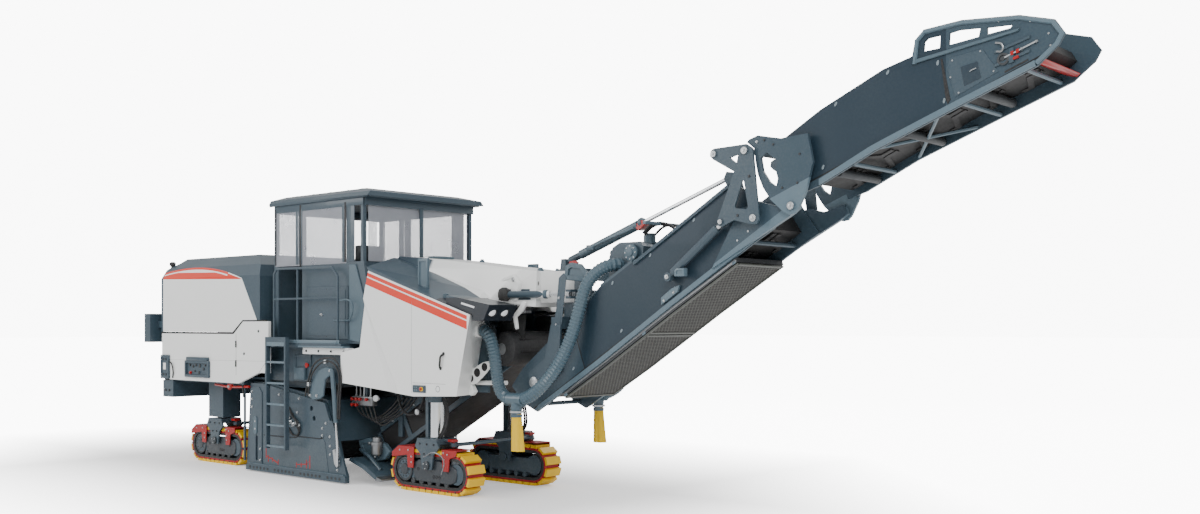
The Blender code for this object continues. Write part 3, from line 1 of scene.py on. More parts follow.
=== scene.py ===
"""Looks of the cold planer: finishes, small parts, hoses, camera and light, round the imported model.

Metres. +X runs towards the conveyor's tip, +Y to the machine's left side, z = 0 is the ground.
"""

import math

import bmesh
import bpy
from mathutils import Matrix, Vector


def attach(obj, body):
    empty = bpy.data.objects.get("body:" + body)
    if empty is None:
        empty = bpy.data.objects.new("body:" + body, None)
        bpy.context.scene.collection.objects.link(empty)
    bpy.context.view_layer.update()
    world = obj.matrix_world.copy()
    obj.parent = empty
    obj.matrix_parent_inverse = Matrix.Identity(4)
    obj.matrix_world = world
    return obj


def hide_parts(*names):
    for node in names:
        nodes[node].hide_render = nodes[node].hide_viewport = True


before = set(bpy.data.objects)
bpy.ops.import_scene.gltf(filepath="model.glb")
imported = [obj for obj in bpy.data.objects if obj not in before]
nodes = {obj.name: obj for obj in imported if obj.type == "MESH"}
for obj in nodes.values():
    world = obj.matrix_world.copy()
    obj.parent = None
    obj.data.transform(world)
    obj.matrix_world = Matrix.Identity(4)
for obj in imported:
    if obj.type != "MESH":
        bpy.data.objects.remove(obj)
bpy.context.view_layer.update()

FRONT_AXLE_X = -0.85
HOSE_Y = 0.82
BRANCH_X = 1.68
BOOM_FACE_Y = 0.499
IMAGE_WIDTH = 1200
RIGHT, LEFT = -1, 1
SIDES = (("right", RIGHT), ("left", LEFT))


def at(x, y, z):
    """A point whose x is counted from the front track axle."""
    return Vector((x + FRONT_AXLE_X, y, z))


class Shade:
    """One node socket that can be used in sums; other nodes come from node()."""

    def __init__(self, tree, socket):
        self.tree = tree
        self.socket = socket

    def node(self, kind, inputs=(), output=0, **settings):
        made = self.tree.nodes.new(kind)
        stops = settings.pop("stops", None)
        for name, value in settings.items():
            setattr(made, name, value)
        if stops:
            ramp = made.color_ramp
            while len(ramp.elements) < len(stops):
                ramp.elements.new(1.0)
            for element, (place, colour) in zip(ramp.elements, stops):
                element.position = place
                element.color = (*colour, 1.0)
        for key, value in dict(inputs).items():
            if isinstance(value, Shade):
                self.tree.links.new(value.socket, made.inputs[key])
            else:
                made.inputs[key].default_value = value
        return Shade(self.tree, made.outputs[output])

    def math(self, operation, *others, clamp=False):
        values = {index + 1: value for index, value in enumerate(others)}
        values[0] = self
        return self.node("ShaderNodeMath", values, operation=operation, use_clamp=clamp)

    def __add__(self, other):
        return self.math("ADD", other)

    __radd__ = __add__

    def __mul__(self, other):
        return self.math("MULTIPLY", other)

    __rmul__ = __mul__

    def __sub__(self, other):
        return self.math("SUBTRACT", other)

    def __rsub__(self, other):
        return (self * -1.0) + other

    def above(self, edge, soft=0.002):
        """1 where the value is over an edge, 0 under it."""
        return ((self - edge) * (1.0 / soft)).math("ADD", 0.5, clamp=True)

    def below(self, edge, soft=0.002):
        return 1.0 - self.above(edge, soft)

    def between(self, low, high, soft=0.002):
        return self.above(low, soft) * self.below(high, soft)

    def size(self):
        return self.math("ABSOLUTE")

    def either(self, other):
        return self.math("MAXIMUM", other)


def painter(name, **constants):
    """A new material and the wrapped x, y, z of its object coordinates.

    The constants go on the shader's own sockets.
    """
    made = bpy.data.materials.new(name)
    made.use_nodes = True
    tree = made.node_tree
    shader = tree.nodes["Principled BSDF"]
    for key, value in constants.items():
        shader.inputs[key.replace("_", " ")].default_value = value
    place = tree.nodes.new("ShaderNodeTexCoord")
    whole = Shade(tree, place.outputs["Object"])
    split = whole.node("ShaderNodeSeparateXYZ", {0: whole})
    axes = [Shade(tree, split.socket.node.outputs[index]) for index in range(3)]
    return made, whole, axes


def feed(made, **sockets):
    """Links wrapped values to the material's shader."""
    tree = made.node_tree
    shader = tree.nodes["Principled BSDF"]
    for key, value in sockets.items():
        tree.links.new(value.socket, shader.inputs[key.replace("_", " ")])
    return made


def mix(whole, factor, low, high):
    """A colour between two colours."""
    inputs = {0: factor, 6: low, 7: high}
    inputs = {key: (*value, 1.0) if isinstance(value, tuple) else value for key, value in inputs.items()}
    return whole.node("ShaderNodeMix", inputs, output=2, data_type="RGBA")


def noise(whole, scale, detail=3.0, stretch=(1.0, 1.0, 1.0)):
    """A soft random pattern on object coordinates."""
    turned = whole.node("ShaderNodeMapping", {0: whole, 3: stretch})
    return whole.node("ShaderNodeTexNoise", {0: turned, 2: scale, 3: detail}, output=0)


def bump(whole, height, strength, distance):
    return whole.node("ShaderNodeBump", {"Height": height, "Strength": strength, "Distance": distance})


SLATE = (0.033, 0.059, 0.080)
SLATE_LIGHT = (0.060, 0.100, 0.128)
PANEL_BLUE = (0.013, 0.029, 0.044)
WHITE = (0.80, 0.81, 0.80)
ORANGE = (0.66, 0.026, 0.003)
RED = (0.32, 0.002, 0.002)
YELLOW = (0.76, 0.47, 0.001)
BLACK = (0.010, 0.011, 0.012)


def dusty(whole, colour, dust=(0.30, 0.29, 0.27), amount=0.10):
    """A paint colour with faint dust and slow changes of tone."""
    cloud = noise(whole, 1.3, 5.0)
    fine = noise(whole, 38.0, 2.0)
    share = (cloud * fine - 0.18).math("MULTIPLY", amount * 2.4, clamp=True)
    return mix(whole, share, colour, dust)


def paint(name, colour, roughness=0.42, amount=0.10):
    made, whole, _ = painter(name, Coat_Weight=0.15)
    grain = noise(whole, 420.0, 2.0)
    rough = noise(whole, 3.0, 4.0) * 0.16 + (roughness - 0.08)
    return feed(made, Base_Color=dusty(whole, colour, amount=amount), Roughness=rough,
                Normal=bump(whole, grain, 0.12, 0.0004))


slate = paint("slate_paint_worn", SLATE)
slate_light = paint("slate_paint_light", SLATE_LIGHT)
panel_blue = paint("panel_paint", PANEL_BLUE, roughness=0.38, amount=0.05)
white = paint("white_paint_worn", WHITE, roughness=0.33, amount=0.05)
yellow = paint("yellow_paint", YELLOW, roughness=0.5, amount=0.10)


def world_x(x):
    return x + FRONT_AXLE_X


def hood_paint():
    """White sides under a curved orange band and a thin orange arc, slate above and at the slanted front."""
    made, whole, (x, y, z) = painter("hood_paint", Coat_Weight=0.2)
    side = (y.size() + (z - 3.20).math("MAXIMUM", 0.0) * 0.4444).above(1.2490, 0.0004)
    slant = (x - world_x(-4.29)) * (0.65 / 0.42) + z
    body = slant.below(3.14) * x.above(world_x(-6.84)) * side
    crown = (x - world_x(-5.93)).math("POWER", 2.0) * -0.082 + 3.378
    low = (x - world_x(-6.78)) * -0.022 + 3.195
    under = crown - z
    band = (z - low).between(0.0, 0.115) * under.above(0.018)
    arc = under.between(0.0, 0.036) * x.below(world_x(-4.75), 0.02)
    gap = under.between(0.036, 0.058) * x.below(world_x(-4.75), 0.02)
    base = mix(whole, body * under.above(0.0), dusty(whole, SLATE, amount=0.08),
               dusty(whole, WHITE, amount=0.05))
    base = mix(whole, body * band.either(arc) * (1.0 - gap), base, ORANGE)
    return feed(made, Base_Color=base, Roughness=noise(whole, 3.0, 4.0) * 0.15 + 0.30)


def tank_paint():
    """White with a doubled orange stripe along the sloping top edge."""
    made, whole, (x, y, z) = painter("tank_paint", Coat_Weight=0.2)
    side = y.size().above(1.2494, 0.0004)
    down = 3.18 - (x - world_x(-0.96)) * (0.65 / 2.19) - z
    stripes = down.between(0.03, 0.085).either(down.between(0.105, 0.215)) * x.below(world_x(1.17))
    base = mix(whole, side * stripes, dusty(whole, WHITE, amount=0.05), ORANGE)
    return feed(made, Base_Color=base, Roughness=noise(whole, 3.0, 4.0) * 0.15 + 0.26)


def cover_paint():
    """Slate deck and lamp blocks outside, white hump and nose in the middle; the lamp blocks' lower front
    under the deck gets painted shade in near-black slate.
    """
    made, whole, (x, y, z) = painter("cover_paint", Coat_Weight=0.2)
    across = y.size()
    hump = across + (z - 3.0) * 0.55 + (x - world_x(0.0)) * 0.02
    middle = hump.below(0.66, 0.004)
    # painted shade: the outer lamp blocks below the deck edge turn near-black slate, standing in for the
    # shade under the deck
    visor_shade = across.above(0.62) * z.below(2.765) * x.above(world_x(0.55)) * ((x - world_x(0.72)) * 0.18 +
        z).above(2.3)
    barrel = (z - 2.81).size().below(0.075) * across.above(0.40) * x.above(world_x(1.05))
    base = mix(whole, middle, dusty(whole, SLATE, amount=0.08), dusty(whole, WHITE, amount=0.05))
    base = mix(whole, barrel, base, SLATE)
    base = mix(whole, visor_shade, base, (0.010, 0.015, 0.022))
    return feed(made, Base_Color=base, Roughness=noise(whole, 3.0, 4.0) * 0.15 + 0.28)


def crawler_paint(name, axle_x):
    """Slate frame, red fenders and a chromed leg."""
    made, whole, (x, y, z) = painter(name, Coat_Weight=0.1)
    along = x - world_x(axle_x)
    across = (y.size() - 0.765).size()
    fender = (along.size().above(0.27) * z.above(0.33) * across.above(0.151, 0.001)).either(
        along.size().above(0.29) * z.above(0.5))
    leg = z.above(0.79) * (along * along + across * across).below(0.0121, 0.0001)
    base = mix(whole, fender, dusty(whole, SLATE, amount=0.2), dusty(whole, RED, amount=0.02))
    base = mix(whole, leg, base, (0.62, 0.64, 0.66))
    return feed(made, Base_Color=base, Metallic=leg, Roughness=(1.0 - leg) * 0.28 + 0.14)


def track_paint(name, axle_x):
    """Yellow pads, red holders under them, and a dark chain inside."""
    made, whole, (x, _, z) = painter(name)
    past = ((x - world_x(axle_x)).size() - 0.56).math("MAXIMUM", 0.0)
    depth = (past * past + (z - 0.305) * (z - 0.305)).math("SQRT")
    grime = noise(whole, 22.0, 4.0)
    base = mix(whole, depth.above(0.226), dusty(whole, BLACK, amount=0.2), dusty(whole, RED, amount=0.04))
    base = mix(whole, depth.above(0.258), base, dusty(whole, YELLOW, amount=0.03))
    return feed(made, Base_Color=base, Roughness=grime * 0.2 + 0.42,
                Normal=bump(whole, noise(whole, 120.0, 3.0), 0.25, 0.002))


def metal(name, colour, roughness, metallic=1.0):
    made, whole, _ = painter(name)
    rough = noise(whole, 14.0, 4.0) * 0.2 + (roughness - 0.08)
    return feed(made, Base_Color=dusty(whole, colour, amount=0.08), Roughness=rough,
                Metallic=noise(whole, 8.0, 2.0) * 0.1 + (metallic - 0.1))


chrome = metal("chromed_rod", (0.66, 0.68, 0.70), 0.16)
steel = metal("bare_steel", (0.28, 0.29, 0.30), 0.42)
iron = metal("dark_iron", (0.06, 0.065, 0.07), 0.5, 0.7)


def rubber(name, colour=(0.014, 0.015, 0.016)):
    made, whole, _ = painter(name)
    rough = noise(whole, 9.0, 4.0) * 0.25 + 0.5
    return feed(made, Base_Color=dusty(whole, colour, amount=0.12), Roughness=rough,
                Normal=bump(whole, noise(whole, 160.0, 3.0), 0.3, 0.001))


black_rubber = rubber("black_rubber")


def glass():
    made, whole, _ = painter("clear_grey_glass", IOR=1.2, Roughness=0.05, Specular_IOR_Level=0.5)
    haze = noise(whole, 2.2, 4.0)
    return feed(made, Base_Color=mix(whole, haze, (0.40, 0.42, 0.47), (0.48, 0.50, 0.54)),
                Alpha=haze * 0.08 + 0.40)


def boom_paint(name, blue_above, far_from, upper):
    """Dark blue smooth panels between paler rails, on one conveyor section."""
    made, whole, (x, y, z) = painter(name, Coat_Weight=0.05, Specular_IOR_Level=0.35)
    across = y.size()
    skin = across.between(0.492, 0.5008, 0.0006)
    (x0, z0), (x1, z1) = blue_above
    rise = (z1 - z0) / (x1 - x0)
    over = z - (x - world_x(x0)) * rise - z0
    panel = skin * over.above(0.085) * x.below(world_x(far_from))
    groove = skin * over.between(0.072, 0.090)
    if not upper:
        groove = groove.either(skin * ((x - world_x(2.62)) * 2.61 + z - 1.83).size().below(0.022) *
                               over.above(0.075) * z.below(2.40))
        panel = panel * ((x - world_x(2.62)) * 2.61 + z).above(1.83)
    pale = across.above(0.505, 0.001) * over.below(0.10)
    if upper:
        pale = pale.either(across.above(0.505, 0.001) * x.above(world_x(7.2)) * z.above(5.05))
        pale = pale.either(across.below(0.46) * over.below(0.06))
    base = dusty(whole, SLATE, amount=0.10)
    base = mix(whole, pale, base, dusty(whole, EDGE_BLUE, amount=0.14))
    base = mix(whole, panel, base, dusty(whole, PANEL_BLUE, amount=0.04))
    base = mix(whole, groove, base, BLACK)
    grain = noise(whole, 300.0, 2.0)
    return feed(made, Base_Color=base, Roughness=noise(whole, 3.0, 4.0) * 0.16 + 0.30,
                Normal=bump(whole, grain, 0.10, 0.0004))


def mesh_paint():
    """Perforated steel: dark slanted holes in rows on a dusty grey-brown sheet."""
    made, whole, (x, y, z) = painter("perforated_steel")
    along = x * 0.855 + z * 0.518
    row = along * (1.0 / 0.036)
    cell = row.math("FLOOR")
    shift = cell.math("MODULO", 2.0) * 0.5
    column = (y * (1.0 / 0.060) + shift).math("FRACT")
    inside = (row.math("FRACT") - 0.5).size().below(0.36, 0.06) * (column - 0.5).size().below(0.39, 0.06)
    steel = dusty(whole, (0.055, 0.056, 0.046), (0.13, 0.12, 0.10), 0.3)
    base = mix(whole, inside, steel, (0.006, 0.006, 0.006))
    return feed(made, Base_Color=base, Roughness=inside * 0.3 + 0.45, Metallic=(1.0 - inside) * 0.35,
                Normal=bump(whole, 1.0 - inside, 0.6, 0.004))


def ladder_paint():
    """Slate rails and paler worn treads."""
    made, whole, (x, _, z) = painter("ladder_paint")
    tread = (x - world_x(-3.18)).size().below(0.238) * z.below(2.12)
    base = mix(whole, tread, dusty(whole, SLATE, amount=0.12), dusty(whole, EDGE_BLUE, amount=0.3))
    grip = (x * 60.0).math("SINE") * 0.5 + 0.5
    return feed(made, Base_Color=base, Roughness=noise(whole, 6.0) * 0.2 + 0.36,
                Normal=bump(whole, grip * tread, 0.5, 0.004))


def rear_panel_paint():
    """White doors with dark joints, and a lower strip a shade deeper."""
    made, whole, (x, y, z) = painter("rear_panel_paint", Coat_Weight=0.2)
    side = y.size().above(1.2494, 0.0004)
    door = (x - world_x(-4.47)).size().below(0.004, 0.001) * z.between(1.56, 2.25)
    hinge = (x - world_x(-4.47)).size().below(0.010, 0.001) * z.between(2.02,
        2.13).either(z.between(1.70, 1.80))
    sill = (z - 1.80 - (x - world_x(-4.6)) * 0.008).size().below(0.0025, 0.001) * 0.5
    corner = ((x - world_x(-3.53)) * 0.9 - z + 1.86).size().below(0.004, 0.001) * x.above(world_x(-3.82))
    lines = (door.either(hinge).either(corner)).either(sill) * side
    base = mix(whole, lines, dusty(whole, WHITE, amount=0.06), (0.05, 0.055, 0.06))
    return feed(made, Base_Color=base, Roughness=noise(whole, 3.0, 4.0) * 0.15 + 0.28,
                Normal=bump(whole, lines * -1.0, 0.4, 0.004))


def belt_paint():
    """Dull black rubber with a worn middle."""
    made, whole, (_, y, _) = painter("belt_rubber_worn")
    worn = (0.34 - y.size()).math("MULTIPLY", 2.2, clamp=True) * noise(whole, 3.0, 5.0)
    base = mix(whole, worn, (0.008, 0.008, 0.009), (0.045, 0.044, 0.042))
    return feed(made, Base_Color=base, Roughness=noise(whole, 12.0) * 0.2 + 0.52,
                Normal=bump(whole, noise(whole, 70.0, 4.0), 0.3, 0.002))


EDGE_BLUE = (0.095, 0.145, 0.180)
HOSE_BLUE = (0.055, 0.098, 0.128)
edge_blue = paint("pale_edge_paint", EDGE_BLUE, roughness=0.40)
hose = paint("hose_blue_grey", HOSE_BLUE, roughness=0.34, amount=0.12)
signal_red = paint("signal_red", (0.36, 0.003, 0.002), roughness=0.34, amount=0.03)
bolt_steel = metal("plated_bolt", (0.50, 0.52, 0.53), 0.32)
dark_line = rubber("joint_black", (0.006, 0.006, 0.007))
pale_rim = paint("slot_rim_paint", (0.20, 0.25, 0.28), roughness=0.4)
cleat_rubber = rubber("cleat_rubber", (0.020, 0.020, 0.021))
skirt_cloth = paint("skirt_cloth", (0.74, 0.47, 0.001), roughness=0.62, amount=0.01)
seat_fabric = rubber("seat_fabric", (0.035, 0.038, 0.045))
grey_line = paint("panel_gap_grey", (0.20, 0.21, 0.22), roughness=0.6)
# slate darkened as painted shade, for parts that sit under the fenders, under the nose and inside the cab
slate_in_painted_shade = paint("slate_paint_painted_shade", (0.020, 0.028, 0.036), roughness=0.45, amount=0.14)
plate_teal = paint("wear_plate_teal", (0.035, 0.062, 0.082), roughness=0.40, amount=0.16)
guard_mesh = mesh_paint()
guard_edge = paint("guard_frame_paint", (0.055, 0.060, 0.052), roughness=0.5, amount=0.10)
head_black = rubber("head_black", (0.022, 0.023, 0.025))
lamp_white = paint("lamp_lens", (0.80, 0.82, 0.84), roughness=0.12, amount=0.02)

FINISH_OF = {
    # finish of each CAD node that isn't plain slate
    "engine_hood": hood_paint(),
    "rear_panel_right": rear_panel_paint(),
    "front_tank_right": tank_paint(), "front_cover": cover_paint(),
    "lower_belt": belt_paint(), "belt_guard": iron, "ladder_right": ladder_paint(),
    "lower_boom": boom_paint("lower_boom_paint", ((1.75, 1.22), (5.30, 3.36)), 5.6, False),
    "upper_boom": boom_paint("upper_boom_paint", ((5.94, 3.88), (8.59, 4.92)), 7.64, True),
    "dust_duct_right": hose, "dust_duct_left": hose, "intake_hose_right": hose, "intake_hose_left": hose,
    "milling_drum": iron, "engine_block": iron,
    "operator_seat": black_rubber,
}
for same, model in (("front_tank_left", "front_tank_right"), ("rear_panel_left", "rear_panel_right"),
                    ("ladder_left", "ladder_right"), ("primary_conveyor", "lower_belt"),
                    ("upper_belt", "lower_belt")):
    FINISH_OF[same] = FINISH_OF[model]
pane = glass()
for name in nodes:
    if "glass" in name:
        FINISH_OF[name] = pane
    elif "_rod_" in name or name.endswith("_rod"):
        if not name.startswith("tie_rod"):
            FINISH_OF[name] = chrome
for axle_name, axle_x in (("front", 0.0), ("rear", -5.62)):
    crawler_finish = crawler_paint("crawler_paint_" + axle_name, axle_x)
    track_finish = track_paint("track_paint_" + axle_name, axle_x)
    for side_name, _ in SIDES:
        FINISH_OF["crawler_" + axle_name + "_" + side_name] = crawler_finish
        FINISH_OF["track_" + axle_name + "_" + side_name] = track_finish
for name, node in nodes.items():
    node.data.materials.clear()
    node.data.materials.append(FINISH_OF.get(name, slate))


def begin():
    """Back to object mode with nothing selected."""
    if bpy.context.object and bpy.context.object.mode != "OBJECT":
        bpy.ops.object.mode_set(mode="OBJECT")
    bpy.ops.object.select_all(action="DESELECT")


def take(piece):
    begin()
    piece.select_set(True)
    bpy.context.view_layer.objects.active = piece


def settle(piece, name, finish, body, smooth=35.0):
    """Puts a modelled piece in its own mesh place, gives it its finish and lets it ride on its body."""
    take(piece)
    bpy.ops.object.transform_apply(location=True, rotation=True, scale=True)
    bpy.ops.object.shade_smooth_by_angle(angle=math.radians(smooth))
    piece.name = name
    piece.data.name = name
    piece.data.materials.clear()
    piece.data.materials.append(finish)
    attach(piece, body)
    return piece


def block(low, high, bevel=0.006, segments=2):
    """A block with rounded edges between two corners."""
    begin()
    low, high = at(*low), at(*high)
    low, high = Vector(map(min, low, high)), Vector(map(max, low, high))
    bpy.ops.mesh.primitive_cube_add(size=1.0, location=(low + high) / 2)
    piece = bpy.context.object
    piece.scale = high - low
    bpy.ops.object.transform_apply(location=True, rotation=True, scale=True)
    bpy.ops.object.mode_set(mode="EDIT")
    bpy.ops.mesh.select_all(action="SELECT")
    bpy.ops.mesh.bevel(offset=bevel, segments=segments, affect="EDGES", clamp_overlap=True)
    bpy.ops.object.mode_set(mode="OBJECT")
    return piece


def facing(piece, direction):
    """Edit mode with the one largest face that looks a way."""
    take(piece)
    way = Vector(direction)
    bpy.ops.object.mode_set(mode="EDIT")
    bpy.ops.mesh.select_mode(type="FACE")
    bpy.ops.mesh.select_all(action="DESELECT")
    mesh = bmesh.from_edit_mesh(piece.data)
    best = max((face for face in mesh.faces if face.normal.dot(way) > 0.95),
               key=lambda face: face.calc_area())
    best.select_set(True)
    bmesh.update_edit_mesh(piece.data)


def recess(piece, direction, border, depth):
    """Insets the face that looks a way and pushes it in (or out, with a depth below nought)."""
    facing(piece, direction)
    bpy.ops.mesh.inset(thickness=border, depth=0.0)
    bpy.ops.mesh.inset(thickness=abs(depth) * 0.15, depth=-depth)
    bpy.ops.object.mode_set(mode="OBJECT")
    return piece


def plate(outline, near, far, bevel=0.004, place=None):
    """A plate from an outline in x and z, between two depths in y, with broken edges."""
    begin()
    spot = place or (lambda a, b, depth: at(a, depth, b))
    corners = [spot(a, b, near) for a, b in outline]
    bpy.ops.mesh.primitive_plane_add(size=0.1, location=corners[0])
    piece = bpy.context.object
    bpy.ops.object.transform_apply(location=True, rotation=True, scale=True)
    bpy.ops.object.mode_set(mode="EDIT")
    bpy.ops.mesh.select_mode(type="VERT")
    bpy.ops.mesh.select_all(action="SELECT")
    bpy.ops.mesh.merge(type="CENTER")
    for corner, after in zip(corners, corners[1:]):
        bpy.ops.mesh.extrude_region_move(TRANSFORM_OT_translate={"value": after - corner})
    bpy.ops.mesh.select_all(action="SELECT")
    bpy.ops.mesh.edge_face_add()
    push = spot(0.0, 0.0, far) - spot(0.0, 0.0, near)
    bpy.ops.mesh.extrude_region_move(TRANSFORM_OT_translate={"value": push})
    bpy.ops.mesh.select_all(action="SELECT")
    bpy.ops.mesh.normals_make_consistent(inside=False)
    if bevel:
        bpy.ops.mesh.bevel(offset=bevel, segments=1, affect="EDGES", clamp_overlap=True)
    bpy.ops.object.mode_set(mode="OBJECT")
    return piece


def upright(outline, near, far, bevel=0.004):
    """A plate across the machine from an outline in y and z."""
    return plate(outline, near, far, bevel, lambda a, b, depth: at(depth, a, b))


def turned(centre, axis, steps, sides=20):
    """A turned piece from rings of (distance along its axis, radius)."""
    begin()
    way = Vector(axis).normalized()
    middle = at(*centre)
    far, radius = steps[0]
    bpy.ops.mesh.primitive_circle_add(vertices=sides, radius=radius, fill_type="NGON",
                                      location=middle + way * far,
                                      rotation=way.to_track_quat("Z", "Y").to_euler())
    piece = bpy.context.object
    bpy.ops.object.transform_apply(location=True, rotation=True, scale=True)
    bpy.ops.object.mode_set(mode="EDIT")
    bpy.ops.mesh.select_all(action="SELECT")
    for after, wide in steps[1:]:
        bpy.ops.mesh.extrude_region_move(TRANSFORM_OT_translate={"value": way * (after - far)})
        bpy.ops.transform.resize(value=(wide / radius,) * 3, center_override=tuple(middle + way * after))
        far, radius = after, wide
    bpy.ops.mesh.select_all(action="SELECT")
    bpy.ops.mesh.normals_make_consistent(inside=False)
    bpy.ops.object.mode_set(mode="OBJECT")
    return piece


def many(piece, places):
    """Copies of one modelled piece at a list of offsets, joined."""
    copies = []
    for place in places:
        copy = piece.copy()
        copy.data = piece.data.copy()
        bpy.context.collection.objects.link(copy)
        copy.location = Vector(place)
        copies.append(copy)
    bpy.data.objects.remove(piece, do_unlink=True)
    return joined(copies)


def joined(pieces):
    """One mesh from several."""
    begin()
    for piece in pieces:
        piece.select_set(True)
    bpy.context.view_layer.objects.active = pieces[0]
    if len(pieces) > 1:
        bpy.ops.object.join()
    bpy.ops.object.transform_apply(location=True, rotation=True, scale=True)
    return pieces[0]


def bolts(name, places, axis, radius, finish, body):
    """Six-sided bolt heads on washers."""
    tall = radius * 0.9
    head = turned((-FRONT_AXLE_X, 0.0, 0.0), axis, [(-0.004, radius * 1.35), (radius * 0.2, radius * 1.35),
                  (radius * 0.21, radius), (tall, radius), (tall * 1.15, radius * 0.8)], 6)
    return settle(many(head, [at(*place) for place in places]), name, finish, body, 20.0)


def bar(points, radius, name, finish, body, round_corners=True, sides=8):
    """A bent round bar or a smooth line through points."""
    begin()
    bpy.ops.curve.primitive_bezier_curve_add()
    line = bpy.context.object
    data = line.data
    data.splines.clear()
    if round_corners:
        spline = data.splines.new("BEZIER")
        spline.bezier_points.add(len(points) - 1)
        for knot, point in zip(spline.bezier_points, points):
            knot.co = at(*point)
            knot.handle_left_type = knot.handle_right_type = "AUTO"
        spline.resolution_u = 6
    else:
        spline = data.splines.new("POLY")
        spline.points.add(len(points) - 1)
        for knot, point in zip(spline.points, points):
            knot.co = (*at(*point), 1.0)
    line.location = (0.0, 0.0, 0.0)
    data.dimensions = "3D"
    data.bevel_depth = radius
    data.bevel_resolution = max(1, sides // 4 - 1) if sides > 4 else 0
    data.use_fill_caps = True
    take(line)
    bpy.ops.object.convert(target="MESH")
    return settle(bpy.context.object, name, finish, body)


def rounded_path(points, rounds=3):
    """Cuts a line's corners, keeping its ends."""
    path = [Vector(point) for point in points]
    for _ in range(rounds):
        finer = [path[0]]
        for first, second in zip(path, path[1:]):
            finer += [first.lerp(second, 0.25), first.lerp(second, 0.75)]
        path = finer + [path[-1]]
    return path


def evenly(path, step):
    """Points at equal distances along a line."""
    lengths = [0.0]
    for first, second in zip(path, path[1:]):
        lengths.append(lengths[-1] + (second - first).length)
    count = max(2, round(lengths[-1] / step))
    spots, index = [], 0
    for number in range(count + 1):
        goal = lengths[-1] * number / count
        while index < len(path) - 2 and lengths[index + 1] < goal:
            index += 1
        share = (goal - lengths[index]) / max(1e-9, lengths[index + 1] - lengths[index])
        spots.append(path[index].lerp(path[index + 1], min(1.0, share)))
    return spots


def ribbed_hose(points, radius, name, finish, body, pitch=0.046, depth=0.012):
    """A corrugated hose: a tube along a line, with every other ring drawn in."""
    begin()
    spots = evenly(rounded_path([at(*point) for point in points]), pitch / 2)
    bpy.ops.curve.primitive_nurbs_path_add()
    line = bpy.context.object
    data = line.data
    data.splines.clear()
    spline = data.splines.new("POLY")
    spline.points.add(len(spots) - 1)
    for knot, spot in zip(spline.points, spots):
        knot.co = (*spot, 1.0)
    line.location = (0.0, 0.0, 0.0)
    data.dimensions = "3D"
    data.bevel_depth = radius
    data.bevel_resolution = 4
    data.use_fill_caps = True
    take(line)
    bpy.ops.object.convert(target="MESH")
    piece = bpy.context.object
    bpy.ops.object.mode_set(mode="EDIT")
    bpy.ops.mesh.select_mode(type="VERT")
    bpy.ops.mesh.select_all(action="DESELECT")
    mesh = bmesh.from_edit_mesh(piece.data)
    for vertex in mesh.verts:
        nearest = min(range(len(spots)), key=lambda index: (vertex.co - spots[index]).length_squared)
        vertex.select_set(nearest % 2 == 1)
    bmesh.update_edit_mesh(piece.data)
    bpy.ops.transform.shrink_fatten(value=-depth)
    bpy.ops.object.mode_set(mode="OBJECT")
    return settle(piece, name, finish, body, 17.0)


def slots_in_line(name, spots, body):
    """Small oval slots with pale rims, set in the boom's side: (x, z, y, lean) each."""
    made = []
    for x, z, y, lean in spots:
        ring = turned((x, y, z), (0, 1 if y > 0 else -1, 0),
                      [(-0.003, 0.022), (0.002, 0.022), (0.003, 0.016), (-0.001, 0.014)], 12)
        ring.data.transform(Matrix.Translation(at(x, y, z)) @ Matrix.Rotation(lean, 4, "Y") @
                            Matrix.Diagonal((0.62, 1.0, 1.25, 1.0)) @ Matrix.Translation(-at(x, y, z)))
        made.append(ring)
    return settle(joined(made), name, pale_rim, body)


def chevrons(name, run, pitch, body, out=0.012, wide=0.44):
    """Raised slanted cleats on a belt's outer face, along a line of (x, z) points."""
    points = evenly([at(x, 0.0, z) for x, z in run], pitch)
    made = []
    for first, second in zip(points[:-1], points[1:]):
        way = (second - first).normalized()
        out_way = Vector((way.z, 0.0, -way.x))
        for side in (RIGHT, LEFT):
            shape = [(0.02, 0.36), (0.14, 0.36), (0.34, 0.02), (0.60, 0.02), (0.60, 0.10), (0.40, 0.10),
                     (0.20, 0.44), (0.02, 0.44)]
            piece = plate(shape, 0.0, out, 0.0, lambda a, b, depth: first + way * (a * pitch * 1.5) +
                          Vector((0.0, side * b * wide / 0.44, 0.0)) + out_way * (depth - 0.002))
            made.append(piece)
    return settle(joined(made), name, cleat_rubber, body)


